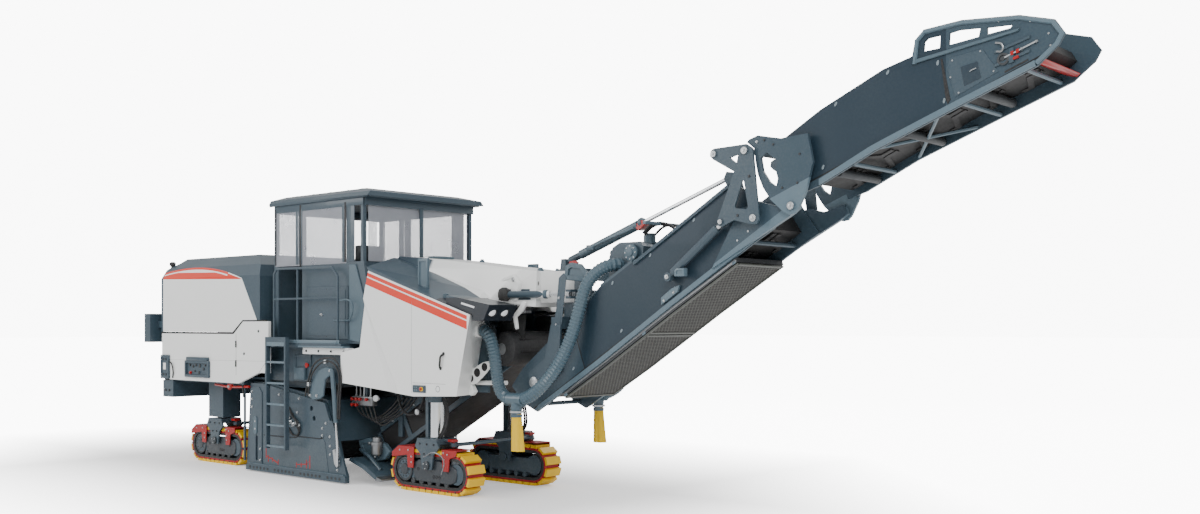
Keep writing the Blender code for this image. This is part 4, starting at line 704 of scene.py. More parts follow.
def conveyor_dress():
    """Seams, latches, cleats, rollers and the tensioner of the folding conveyor."""
    for side_name, side in SIDES:
        slots_in_line("lower_slots_" + side_name, [
            (4.10, 2.84, side * 0.503, 0.6), (4.83, 3.30, side * 0.503, 0.6), (3.25, 2.32, side * 0.503, 0.6),
            (2.42, 1.82, side * 0.503, 0.6), (3.10, 2.93, side * 0.503, 0.6), (3.72, 3.26, side * 0.503, 0.6),
            (4.40, 3.66, side * 0.503, 0.6)], "lower_section")
        slots_in_line("upper_slots_" + side_name, [
            (6.19, 4.14, side * 0.503, 0.4), (7.55, 5.10, side * 0.503, 0.2), (7.62, 4.70, side * 0.503, 0.2),
            (6.35, 4.82, side * 0.503, 0.5), (6.98, 5.08, side * 0.503, 0.5)], "upper_section")
        near, far = side * BOOM_FACE_Y, side * 0.506
        cover = plate([(7.68, 5.13), (8.03, 5.175), (8.20, 4.92), (7.74, 4.72), (7.655, 5.04)], near, far,
                      0.003)
        settle(cover, "access_cover_" + side_name, slate, "upper_section")
        bolts("access_bolts_" + side_name, [(7.71, side * 0.506, 5.10), (8.01, side * 0.506, 5.15),
                                            (8.15, side * 0.506, 4.93), (7.78, side * 0.506, 4.76),
                                            (7.69, side * 0.506, 4.93)], (0, side, 0), 0.008, bolt_steel,
              "upper_section")
        lid = plate([(7.80, 5.02), (7.98, 5.05), (8.02, 4.88), (7.84, 4.82)], side * 0.504, side * 0.511,
                    0.003)
        settle(lid, "access_lid_" + side_name, panel_blue, "upper_section")
        bar([(7.90, side * 0.510, 4.96), (7.93, side * 0.525, 4.97), (7.97, side * 0.510, 4.985)], 0.006,
                   "access_pull_" + side_name, bolt_steel, "upper_section")
        # Belt tensioner: bearing block, ring, two red lock plates and the threaded rod in its guides
        ring = turned((8.25, side * BOOM_FACE_Y, 5.035), (0, side, 0),
                      [(0.0, 0.062), (0.018, 0.062), (0.022, 0.056), (0.022, 0.040), (0.012, 0.036),
                       (0.012, 0.022), (0.026, 0.020), (0.028, 0.006)], 24)
        settle(ring, "tensioner_bearing_" + side_name, iron, "upper_section")
        guide_rows = []
        for low_z, high_z in ((4.965, 4.995), (5.10, 5.13)):
            guide_rows.append(plate([(8.16, low_z), (8.52, low_z + 0.10), (8.52, high_z + 0.10),
                                     (8.16, high_z)], side * BOOM_FACE_Y, side * 0.517, 0.003))
        guide_rows.append(plate([(8.31, 4.98), (8.36, 4.99), (8.36, 5.14), (8.31, 5.13)],
                                side * BOOM_FACE_Y, side * 0.522, 0.003))
        settle(joined(guide_rows), "tensioner_guides_" + side_name, slate, "upper_section")
        marks = [plate([(8.33 + step, 5.055 + step / 4), (8.36 + step, 5.062 + step / 4),
                        (8.36 + step, 5.102 + step / 4), (8.33 + step, 5.095 + step / 4)], side * 0.500,
                       side * 0.528, 0.002) for step in (0.0, 0.055)]
        marks.append(plate([(8.355, 5.01), (8.41, 5.025), (8.41, 5.05), (8.355, 5.035)], side * 0.500,
                           side * 0.526, 0.002))
        settle(joined(marks), "tensioner_marks_" + side_name, signal_red, "upper_section")
        bar([(8.26, side * 0.516, 5.045), (8.60, side * 0.516, 5.165)], 0.009, "tensioner_rod_" + side_name,
            bolt_steel, "upper_section", False)
        nuts = [(8.44, side * 0.516, 5.108), (8.585, side * 0.516, 5.158)]
        bolts("tensioner_nuts_" + side_name, nuts, (0.93, 0, 0.36), 0.014, bolt_steel, "upper_section")
        bar([(8.17, side * 0.510, 5.21), (8.24, side * 0.515, 5.18), (8.24, side * 0.515, 5.12),
             (8.18, side * 0.510, 5.12)], 0.011, "tensioner_hook_" + side_name, steel, "upper_section")
        slot = plate([(8.26, 4.895), (8.50, 4.985), (8.50, 5.005), (8.26, 4.915)], side * BOOM_FACE_Y,
                     side * 0.503, 0.001)
        settle(slot, "tip_slot_" + side_name, dark_line, "upper_section")
        flange = plate([(7.30, 5.125), (8.40, 5.285), (8.42, 5.315), (7.30, 5.165)], side * 0.497,
                       side * 0.526, 0.004)
        settle(flange, "tip_flange_" + side_name, slate_light, "upper_section")
        edge = plate([(7.58, 5.135), (7.60, 5.135), (7.69, 4.70), (7.66, 4.66), (7.64, 4.70)],
                     side * BOOM_FACE_Y, side * 0.504, 0.001)
        settle(edge, "panel_joint_" + side_name, dark_line, "upper_section")
        tip_bolts = [(8.70, side * 0.502, 5.22), (8.52, side * 0.502, 5.37), (8.20, side * 0.502, 5.42),
                     (8.72, side * 0.502, 5.10), (8.45, side * 0.502, 5.40)]
        bolts("tip_bolts_" + side_name, tip_bolts, (0, side, 0), 0.009, bolt_steel, "upper_section")
        # Pin caps of the fold linkage
        for label, x, z, y, radius, body in (("knob", 4.80, 4.40, 0.659, 0.040, "rocker"),
                                             ("top", 5.24, 4.40, 0.659, 0.044, "rocker"),
                                             ("rocker", 5.35, 3.62, 0.645, 0.044, "lower_section"),
                                             ("eye", 4.90, 3.60, 0.659, 0.030, "rocker"),
                                             ("fold", 5.84, 3.73, 0.620, 0.045, "lower_section"),
                                             ("base", 4.08, 2.98, 0.625, 0.030, "lower_section"),
                                             ("hook", 5.38, 4.49, 0.600, 0.018, "upper_section"),):
            cap = turned((x, side * y, z), (0, side, 0),
                         [(-0.012, radius), (0.006, radius), (0.011, radius * 0.9), (0.011, radius * 0.45),
                          (0.016, radius * 0.4), (0.017, radius * 0.2)], 20)
            settle(cap, "pin_cap_" + label + "_" + side_name, bolt_steel, body)
        bolts("bracket_bolts_" + side_name, [(5.72, side * 0.600, 3.94), (5.48, side * 0.6, 4.50),
                                             (5.95, side * 0.6, 4.30), (5.92, side * 0.6, 3.98),
                                             (5.60, side * 0.6, 4.44)], (0, side, 0), 0.012, iron,
              "upper_section")
        bolts("rocker_bolts_" + side_name, [(5.30, side * 0.645, 4.10), (5.14, side * 0.645, 3.66)],
              (0, side, 0), 0.014, iron, "rocker")
        # Hinge brackets with a clamp on the lower rail
        for index, (x, z) in enumerate(((4.02, 2.62), (5.12, 3.31))):
            bracket = plate([(x - 0.10, z + 0.02), (x + 0.16, z + 0.18), (x + 0.18, z + 0.26),
                             (x + 0.06, z + 0.22), (x - 0.10, z + 0.11)], side * BOOM_FACE_Y, side * 0.540,
                            0.006)
            settle(bracket, "rail_clamp_%d_%s" % (index, side_name), edge_blue, "lower_section")
            bolts("rail_clamp_bolts_%d_%s" % (index, side_name),
                  [(x - 0.05, side * 0.54, z + 0.07), (x + 0.10, side * 0.54, z + 0.17)], (0, side, 0),
                  0.014, bolt_steel, "lower_section")
        block_piece = block((4.20, side * 0.555, 2.98), (4.35, side * 0.635, 3.08), 0.010)
        recess(block_piece, (0, side, 0), 0.018, 0.012)
        settle(block_piece, "fold_valve_" + side_name, edge_blue,
               "right_fold_barrel" if side < 0 else "left_fold_barrel")
    chevrons("lower_cleats", [(1.82, 1.425), (5.28, 3.49)], 0.42, "lower_section")
    chevrons("upper_cleats", [(6.05, 3.995), (7.81, 4.775), (8.48, 5.008)], 0.42, "upper_section")
    chevrons("upper_top_cleats", [(8.36, 5.235), (7.70, 5.025), (5.90, 4.295)], 0.42, "upper_section")
    scraper = plate([(8.50, 4.985), (8.62, 4.955), (8.66, 4.985), (8.55, 5.035), (8.52, 5.085),
                     (8.47, 5.085)], -0.465, 0.465, 0.006)
    settle(scraper, "tip_scraper", signal_red, "upper_section")
    rollers = [turned((x, -0.455, z), (0, 1, 0),
                      [(0.0, 0.012), (0.02, 0.012), (0.02, 0.045), (0.03, 0.05), (0.88, 0.05),
                       (0.89, 0.045), (0.89, 0.012), (0.91, 0.012)], 14)
               for x, z in ((6.35, 4.075), (7.15, 4.43), (7.95, 4.76))]
    settle(joined(rollers), "return_rollers", iron, "upper_section")
    frames = [plate([(x, z), (x + 0.05, z + 0.03), (x + 0.06, z - 0.005), (x + 0.01, z - 0.035)], -0.497,
                    0.497, 0.004) for x, z in ((2.24, 1.475), (3.58, 2.295), (4.95, 3.13))]
    frames.append(block((3.55, -0.44, 3.66), (3.60, 0.44, 3.70), 0.006))
    settle(joined(frames), "guard_cross_bars", edge_blue, "lower_section")
    for side_name, side in SIDES:
        trim = plate([(2.22, 1.455), (4.05, 2.575), (5.02, 3.145), (5.00, 3.165), (4.03, 2.60), (2.21, 1.48)],
                     side * 0.455, side * 0.497, 0.003)
        settle(trim, "guard_edge_" + side_name, steel, "lower_section")


def fan_dress():
    """Fittings of the suction fan, the red lock on the lift cylinder and the hoses that run to them."""
    disc = turned((3.24, -0.305, 3.32), (0, -1, 0),
                  [(-0.01, 0.11), (0.012, 0.11), (0.018, 0.10), (0.018, 0.05), (0.03, 0.045),
                   (0.032, 0.02)], 24)
    settle(disc, "fan_cover", slate_light, "lower_section")
    bolts("fan_bolts", [(3.24 + 0.085 * math.cos(turn), -0.323, 3.32 + 0.085 * math.sin(turn))
                        for turn in (2 * math.pi * step / 8 for step in range(8))], (0, -1, 0), 0.008,
          bolt_steel, "lower_section")
    motor = turned((2.90, -0.10, 3.34), (-1, 0, 0),
                   [(0.0, 0.06), (0.03, 0.06), (0.03, 0.048), (0.10, 0.048), (0.10, 0.055), (0.13, 0.055),
                    (0.135, 0.04), (0.16, 0.038), (0.162, 0.02)], 16)
    settle(motor, "fan_motor", slate_light, "lower_section")
    top = turned((3.30, 0.0, 3.45), (0, 0, 1),
                 [(0.0, 0.095), (0.02, 0.095), (0.02, 0.078), (0.10, 0.078), (0.11, 0.06), (0.13, 0.055),
                  (0.13, 0.03)], 20)
    settle(top, "fan_outlet", slate_light, "lower_section")
    lock = plate([(3.10, 3.66), (3.14, 3.62), (3.20, 3.645), (3.27, 3.70), (3.25, 3.745), (3.18, 3.755),
                  (3.16, 3.72), (3.12, 3.725)], -0.055, 0.055, 0.008)
    settle(lock, "cylinder_lock", signal_red, "lift_barrel")
    sleeve = turned((2.10, 0.0, 3.351), (0.9456, 0, 0.3254),
                    [(0.0, 0.052), (0.0, 0.062), (1.08, 0.062), (1.08, 0.052)], 24)
    settle(sleeve, "cylinder_sleeve", slate_light, "lift_barrel")
    collar = turned((3.20, 0.0, 3.735), (0.9456, 0, 0.3254),
                    [(-0.06, 0.060), (-0.05, 0.068), (-0.01, 0.068), (0.0, 0.050), (0.02, 0.045)], 18)
    settle(collar, "cylinder_gland", slate_light, "lift_barrel")
    ports = block((2.25, -0.075, 3.40), (2.38, -0.035, 3.47), 0.008)
    settle(ports, "cylinder_port", slate_light, "lift_barrel")
    bar([(2.30, -0.065, 3.42), (2.55, -0.08, 3.50), (2.95, -0.07, 3.62), (3.08, -0.06, 3.66)], 0.012,
        "cylinder_line", edge_blue, "lift_barrel")
    for index, (y, lift) in enumerate(((-0.10, 0.0), (-0.13, 0.02), (0.10, 0.0))):
        points = [(3.30, y, 3.56 + lift), (3.45, y, 3.66 + lift), (3.62, y, 3.67 + lift),
                  (3.80, y, 3.60 + lift), (3.92, y * 1.6, 3.48)]
        bar(points, 0.016, "fan_line_%d" % index, black_rubber, "lower_section")
    for side_name, side in SIDES:
        bar([(3.88, side * 0.44, 3.42), (3.0, side * 0.485, 2.96), (2.62, side * 0.46, 2.70)], 0.010,
            "boom_cable_" + side_name, edge_blue, "lower_section")


def hose_dress():
    """Corrugated hoses over the plain ones, with their clamps and branch pieces."""
    for side_name, side in SIDES:
        route = [(3.02, 0.275, 3.17), (3.02, 0.34, 3.17), (2.95, 0.42, 3.16), (2.82, 0.50, 3.08),
                 (2.70, 0.58, 2.90), (2.63, 0.62, 2.58), (2.53, 0.67, 2.20), (2.34, 0.74, 1.82),
                 (2.08, 0.82, 1.53), (1.86, 0.82, 1.42), (1.74, 0.82, 1.40)]
        duct = ribbed_hose([(x, side * y, z) for x, y, z in route], 0.088, "suction_hose_" + side_name,
                           hose, "lower_section")
        route = [(1.00, 2.32), (1.05, 2.32), (1.17, 2.24), (1.26, 1.97), (1.30, 1.66), (1.38, 1.46),
                 (1.53, 1.40)]
        lower = ribbed_hose([(x, side * HOSE_Y, z) for x, z in route], 0.088, "tank_hose_" + side_name,
                            hose, "machine")
        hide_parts("intake_hose_" + side_name)
        middle = turned((1.50, side * HOSE_Y, 1.40), (1, 0, 0),
                        [(0.0, 0.092), (0.03, 0.092), (0.03, 0.086), (0.29, 0.086), (0.29, 0.092),
                         (0.32, 0.092)], 24)
        drop = turned((BRANCH_X, side * HOSE_Y, 1.40), (0, 0, -1),
                      [(-0.02, 0.075), (0.12, 0.080), (0.16, 0.070), (0.20, 0.070), (0.20, 0.078),
                       (0.235, 0.078), (0.235, 0.060)], 20)
        settle(joined([middle, drop]), "branch_" + side_name, hose, "lower_section")
        begin()
        bpy.ops.mesh.primitive_circle_add(vertices=40, radius=0.066, fill_type="NOTHING",
                                          location=at(BRANCH_X, side * HOSE_Y, 1.24))
        skirt = bpy.context.object
        bpy.ops.object.transform_apply(location=True, rotation=True, scale=True)
        bpy.ops.object.mode_set(mode="EDIT")
        bpy.ops.mesh.select_mode(type="VERT")
        bpy.ops.mesh.select_all(action="SELECT")
        for drop_z, long_x, long_y in ((-0.10, 1.10, 1.05), (-0.15, 1.12, 0.98), (-0.15, 1.08, 0.96),
                                       (-0.13, 1.06, 1.0)):
            bpy.ops.mesh.extrude_region_move(TRANSFORM_OT_translate={"value": (0.004, 0.0, drop_z)})
            middle = at(BRANCH_X, side * HOSE_Y, 1.0)
            bpy.ops.transform.resize(value=(long_x, long_y, 1.0), center_override=tuple(middle))
        bpy.ops.object.mode_set(mode="OBJECT")
        for vertex in skirt.data.vertices:
            way = math.atan2(vertex.co.y - side * HOSE_Y, vertex.co.x - at(BRANCH_X, 0, 0).x)
            fold = (1.24 - vertex.co.z) * 0.045
            swell = 1.0 + fold * (math.sin(way * 7.0) + 0.5 * math.sin(way * 3.0 + 1.0)) / 0.1 * 0.55
            vertex.co.x = at(BRANCH_X, 0, 0).x + (vertex.co.x - at(BRANCH_X, 0, 0).x) * swell
            vertex.co.y = side * HOSE_Y + (vertex.co.y - side * HOSE_Y) * swell
        take(skirt)
        thick = skirt.modifiers.new("cloth", "SOLIDIFY")
        thick.thickness = 0.003
        bpy.ops.object.modifier_apply(modifier=thick.name)
        settle(skirt, "skirt_" + side_name, skirt_cloth, "lower_section", 60.0)
        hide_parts("dust_duct_" + side_name)
        for index, (x, z, way) in enumerate(((1.02, 2.32, (1, 0, 0)), (BRANCH_X, 1.235, (0, 0, 1)))):
            ring = turned((x, side * HOSE_Y, z), way,
                          [(-0.012, 0.080), (-0.012, 0.094), (0.012, 0.094), (0.012, 0.080)], 24)
            settle(ring, "hose_clamp_%d_%s" % (index, side_name), bolt_steel,
                   "machine" if index == 0 else "lower_section")
        collar = turned((0.94, side * HOSE_Y, 2.335), (1, 0, -0.05),
                        [(-0.04, 0.115), (0.03, 0.115), (0.045, 0.10), (0.07, 0.096)], 24)
        settle(collar, "hose_collar_" + side_name, white, "machine")


def cab_dress():
    """Cab panels, door, roof edge, seat controls and the rails' brackets."""
    roof_edge = [block((-3.70, s * 1.09, 4.285), (-1.16, s * 1.125, 4.345), 0.010) for s in (RIGHT, LEFT)]
    roof_edge += [block((-1.16, -1.08, 4.285), (-1.13, 1.08, 4.35), 0.010),
                  block((-3.735, -1.05, 4.30), (-3.70, 1.05, 4.37), 0.010)]
    settle(joined(roof_edge), "roof_edge", slate, "machine")
    ribs = [block((x, -0.86, 4.445), (x + 0.05, 0.86, 4.462), 0.006)
            for x in (-3.35, -2.90, -2.45, -2.0, -1.65)]
    settle(joined(ribs), "roof_ribs", slate, "machine")
    beads = []
    for side_name, side in SIDES:
        y = side * 1.089
        for x0, x1, z0, z1 in ((-3.57, -3.55, 3.34, 4.24), (-2.90, -2.86, 3.30, 4.27),
                               (-1.74, -1.70, 3.34, 4.24)):
            beads.append(block((x0, y, z0), (x1, y + side * 0.008, z1), 0.003))
    settle(joined(beads), "glass_seals", dark_line, "machine")
    for side_name, side in SIDES:
        near, far = side * 1.079, side * 1.092
        cheek = plate([(-1.60, 2.16), (-1.36, 2.13), (-1.22, 2.47), (-1.26, 2.80), (-1.46, 3.30),
                       (-1.62, 3.30)], side * 1.079, side * 1.104, 0.008)
        settle(cheek, "cab_cheek_" + side_name, slate_light, "machine")
        door = plate([(-2.72, 2.17), (-1.66, 2.17), (-1.66, 2.98), (-2.72, 2.98)], near, far, 0.008)
        recess(door, (0, side, 0), 0.05, -0.006)
        settle(door, "cab_lower_panel_" + side_name, slate, "machine")
        seam = block((-2.20, far, 2.20), (-2.194, far + side * 0.002, 2.95), 0.001)
        settle(seam, "cab_panel_joint_" + side_name, dark_line, "machine")
        knob = turned((-2.30, far, 2.55), (0, side, 0),
                      [(0.0, 0.02), (0.02, 0.02), (0.024, 0.014), (0.04, 0.014), (0.042, 0.008)], 16)
        settle(knob, "cab_latch_" + side_name, bolt_steel, "machine")
        bar([(-1.72, side * 1.19, 2.76), (-1.50, side * 1.19, 2.76), (-1.44, side * 1.18, 2.72),
             (-1.44, side * 1.17, 2.60), (-1.52, side * 1.16, 2.48), (-1.66, side * 1.12, 2.46),
             (-2.0, side * 1.10, 2.46)], 0.013, "door_loop_" + side_name, slate_light, "machine")
        toe = block((-3.50, side * 1.212, 2.112), (-1.70, side * 1.222, 2.16), 0.004)
        settle(toe, "toe_board_" + side_name, edge_blue, "machine")
        bracket = plate([(-2.71, 1.94), (-1.58, 1.94), (-1.55, 2.045), (-2.71, 2.045)], side * 1.06,
                        side * 1.17, 0.006)
        recess(bracket, (0, side, 0), 0.02, 0.008)
        settle(bracket, "platform_bracket_" + side_name, white, "machine")
        bolts("platform_bolts_" + side_name, [(x, side * 1.165, 1.99)
                                              for x in (-2.62, -2.30, -1.98, -1.66)], (0, side, 0), 0.014,
              iron, "machine")
        ledge = block((-2.74, side * 1.10, 2.045), (-1.60, side * 1.235, 2.07), 0.004)
        settle(ledge, "platform_edge_" + side_name, edge_blue, "machine")
        for index, x in enumerate((-3.44, -2.80, -1.76)):
            foot = turned((x, side * 1.20, 2.105), (0, 0, 1),
                          [(0.0, 0.045), (0.014, 0.045), (0.02, 0.028), (0.05, 0.027)], 12)
            settle(foot, "rail_foot_%d_%s" % (index, side_name), slate_light, "machine")
    # Seat: cushion, back, headrest and arm pads over the plain seat
    cushion = block((-2.97, -0.26, 2.52), (-2.43, 0.26, 2.68), 0.05, 4)
    recess(cushion, (0, 0, 1), 0.07, 0.012)
    back = block((-3.04, -0.25, 2.62), (-2.86, 0.25, 3.20), 0.05, 4)
    recess(back, (1, 0, 0), 0.07, 0.012)
    head = block((-3.02, -0.14, 3.20), (-2.90, 0.14, 3.36), 0.04, 4)
    arms = [block((-2.90, s * 0.27, 2.80), (-2.50, s * 0.35, 2.86), 0.02, 3) for s in (RIGHT, LEFT)]
    settle(joined([cushion, back, head] + arms), "driver_seat", seat_fabric, "machine")
    panel = plate([(-1.98, 3.00), (-1.66, 3.155), (-1.66, 3.175), (-1.98, 3.02)], -0.50, 0.50, 0.004)
    settle(panel, "console_top", dark_line, "machine")
    keys = many(block((-0.012 - FRONT_AXLE_X, -0.012, -0.006), (0.012 - FRONT_AXLE_X, 0.012, 0.010), 0.003),
                [at(-1.92 + 0.05 * row, -0.42 + 0.07 * column, 3.045 + 0.0242 * row) for row in range(5)
                 for column in range(5)])
    settle(keys, "console_keys", edge_blue, "machine")
    screen = block((-1.78, 0.10, 3.14), (-1.74, 0.42, 3.38), 0.012)
    recess(screen, (-1, 0, 0), 0.02, 0.006)
    settle(screen, "console_screen", dark_line, "machine")
    for index, y in enumerate((-0.30, 0.30)):
        stick = turned((-1.90, y * 0.6, 3.03), (-0.1, 0, 1),
                       [(0.0, 0.03), (0.02, 0.03), (0.03, 0.012), (0.10, 0.012), (0.11, 0.024),
                        (0.16, 0.026), (0.18, 0.012)], 14)
        settle(stick, "console_lever_%d" % index, black_rubber, "machine")
    bar([(-2.02, -0.28, 3.28), (-2.06, -0.10, 3.33), (-2.06, 0.10, 3.33), (-2.02, 0.28, 3.28)], 0.014,
        "console_grab_bar", black_rubber, "machine")


def hood_dress():
    """Rear louvres, latches, the filler cap and the rubber seam round the engine hood."""
    slats = many(block((-6.915, -0.95, 0.0), (-6.885, 0.95, 0.03), 0.006),
                 [(0.0, 0.0, 2.62 + 0.075 * index) for index in range(8)])
    settle(slats, "rear_louvres", slate_light, "hood")
    frame_piece = upright([(-1.02, 2.54), (1.02, 2.54), (1.02, 3.22), (-1.02, 3.22)], -6.898, -6.912, 0.004)
    recess(frame_piece, (-1, 0, 0), 0.05, 0.008)
    settle(frame_piece, "rear_grille_frame", dark_line, "hood")
    knob = turned((-6.78, -1.10, 3.36), (0, 0, 1),
                  [(0.0, 0.05), (0.03, 0.05), (0.04, 0.03), (0.07, 0.03), (0.09, 0.055), (0.13, 0.055),
                   (0.15, 0.03)], 20)
    settle(knob, "rear_knob", black_rubber, "hood")
    for side_name, side in SIDES:
        y = side * 1.2505
        seam = [(-4.575, 2.243), (-4.545, 2.243), (-4.262, 2.448), (-3.56, 2.448), (-3.56, 2.470),
                (-4.272, 2.470), (-4.575, 2.265)]
        strip = plate(seam, side * 1.246, side * 1.254, 0.0)
        straight = block((-6.89, side * 1.20, 2.240), (-4.57, side * 1.2545, 2.268), 0.003)
        settle(joined([strip, straight]), "hood_seal_" + side_name, dark_line, "hood")
        for index, (z0, z1) in enumerate(((2.02, 2.13), (1.70, 1.81))):
            hinge = block((-4.485, side * 1.248, z0), (-4.455, side * 1.262, z1), 0.004)
            settle(hinge, "door_hinge_%d_%s" % (index, side_name), dark_line, "machine")
        for index, (x, z) in enumerate(((-3.81, 2.29), (-4.23, 1.92))):
            latch = turned((x, y, z), (0, side, 0),
                           [(0.0, 0.022), (0.004, 0.022), (0.006, 0.016), (0.003, 0.010)], 16)
            settle(latch, "door_lock_%d_%s" % (index, side_name), iron, "machine")
        box_piece = block((-6.05, side * 1.235, 1.49), (-5.27, side * 1.290, 1.78), 0.016)
        recess(box_piece, (0, side, 0), 0.030, 0.032)
        settle(box_piece, "valve_recess_" + side_name, slate, "machine")
        lid = block((-5.98, side * 1.24, 1.775), (-5.30, side * 1.300, 1.84), 0.012)
        settle(lid, "valve_recess_lid_" + side_name, slate, "machine")
        details = [turned((x, side * 1.256, z), (0, side, 0),
                          [(0.0, r), (0.014, r), (0.018, r * 0.6), (0.022, r * 0.5)], 12)
                   for x, z, r in ((-5.90, 1.70, 0.022), (-5.80, 1.68, 0.026), (-5.70, 1.70, 0.022),
                                   (-5.58, 1.69, 0.03), (-5.46, 1.64, 0.026), (-5.60, 1.58, 0.024),
                                   (-5.74, 1.60, 0.018), (-5.40, 1.70, 0.018))]
        settle(joined(details), "recess_fittings_" + side_name, iron, "machine")
        stop = turned((-5.88, side * 1.257, 1.57), (0, side, 0),
                      [(0.0, 0.03), (0.01, 0.03), (0.014, 0.018), (0.026, 0.022), (0.030, 0.014)], 16)
        settle(stop, "recess_stop_" + side_name, signal_red, "machine")
        control = block((-6.88, side * 1.235, 1.44), (-6.60, side * 1.285, 1.86), 0.014)
        recess(control, (0, side, 0), 0.03, 0.012)
        settle(control, "rear_control_" + side_name, slate, "machine")
        lamps = [turned((x, side * 1.275, z), (0, side, 0), [(0.0, 0.018), (0.008, 0.018), (0.011, 0.012)],
                        14) for x, z in ((-6.78, 1.78), (-6.70, 1.78), (-6.78, 1.52), (-6.70, 1.52))]
        settle(joined(lamps), "rear_control_keys_" + side_name, iron, "machine")
        pad = block((-6.79, side * 1.272, 1.60), (-6.70, side * 1.280, 1.72), 0.004)
        settle(pad, "rear_control_pad_" + side_name, white, "machine")
        bar([(-6.60, side * 1.26, 1.74), (-6.50, side * 1.275, 1.70), (-6.46, side * 1.27, 1.58),
             (-6.50, side * 1.255, 1.46)], 0.012, "rear_control_line_" + side_name, black_rubber, "machine")
        bar([(-5.32, side * 1.12, 1.38), (-4.90, side * 1.16, 1.36), (-4.62, side * 1.16, 1.36),
             (-4.22, side * 1.16, 1.38)], 0.022, "sensor_bar_" + side_name, signal_red, "machine", False)
        crank = plate([(-4.86, 1.34), (-4.80, 1.30), (-4.72, 1.34), (-4.70, 1.60), (-4.75, 1.64),
                       (-4.80, 1.60), (-4.83, 1.44)], side * 1.145, side * 1.19, 0.010)
        settle(crank, "sensor_crank_" + side_name, signal_red, "machine")
        bolts("sensor_bolts_" + side_name, [(-4.755, side * 1.19, 1.60), (-4.79, side * 1.19, 1.36)],
              (0, side, 0), 0.02, bolt_steel, "machine")
        bolts("beam_bolts_" + side_name, [(x, side * 1.2505, 1.24) for x in (-6.74, -6.62)], (0, side, 0),
              0.018, iron, "machine")


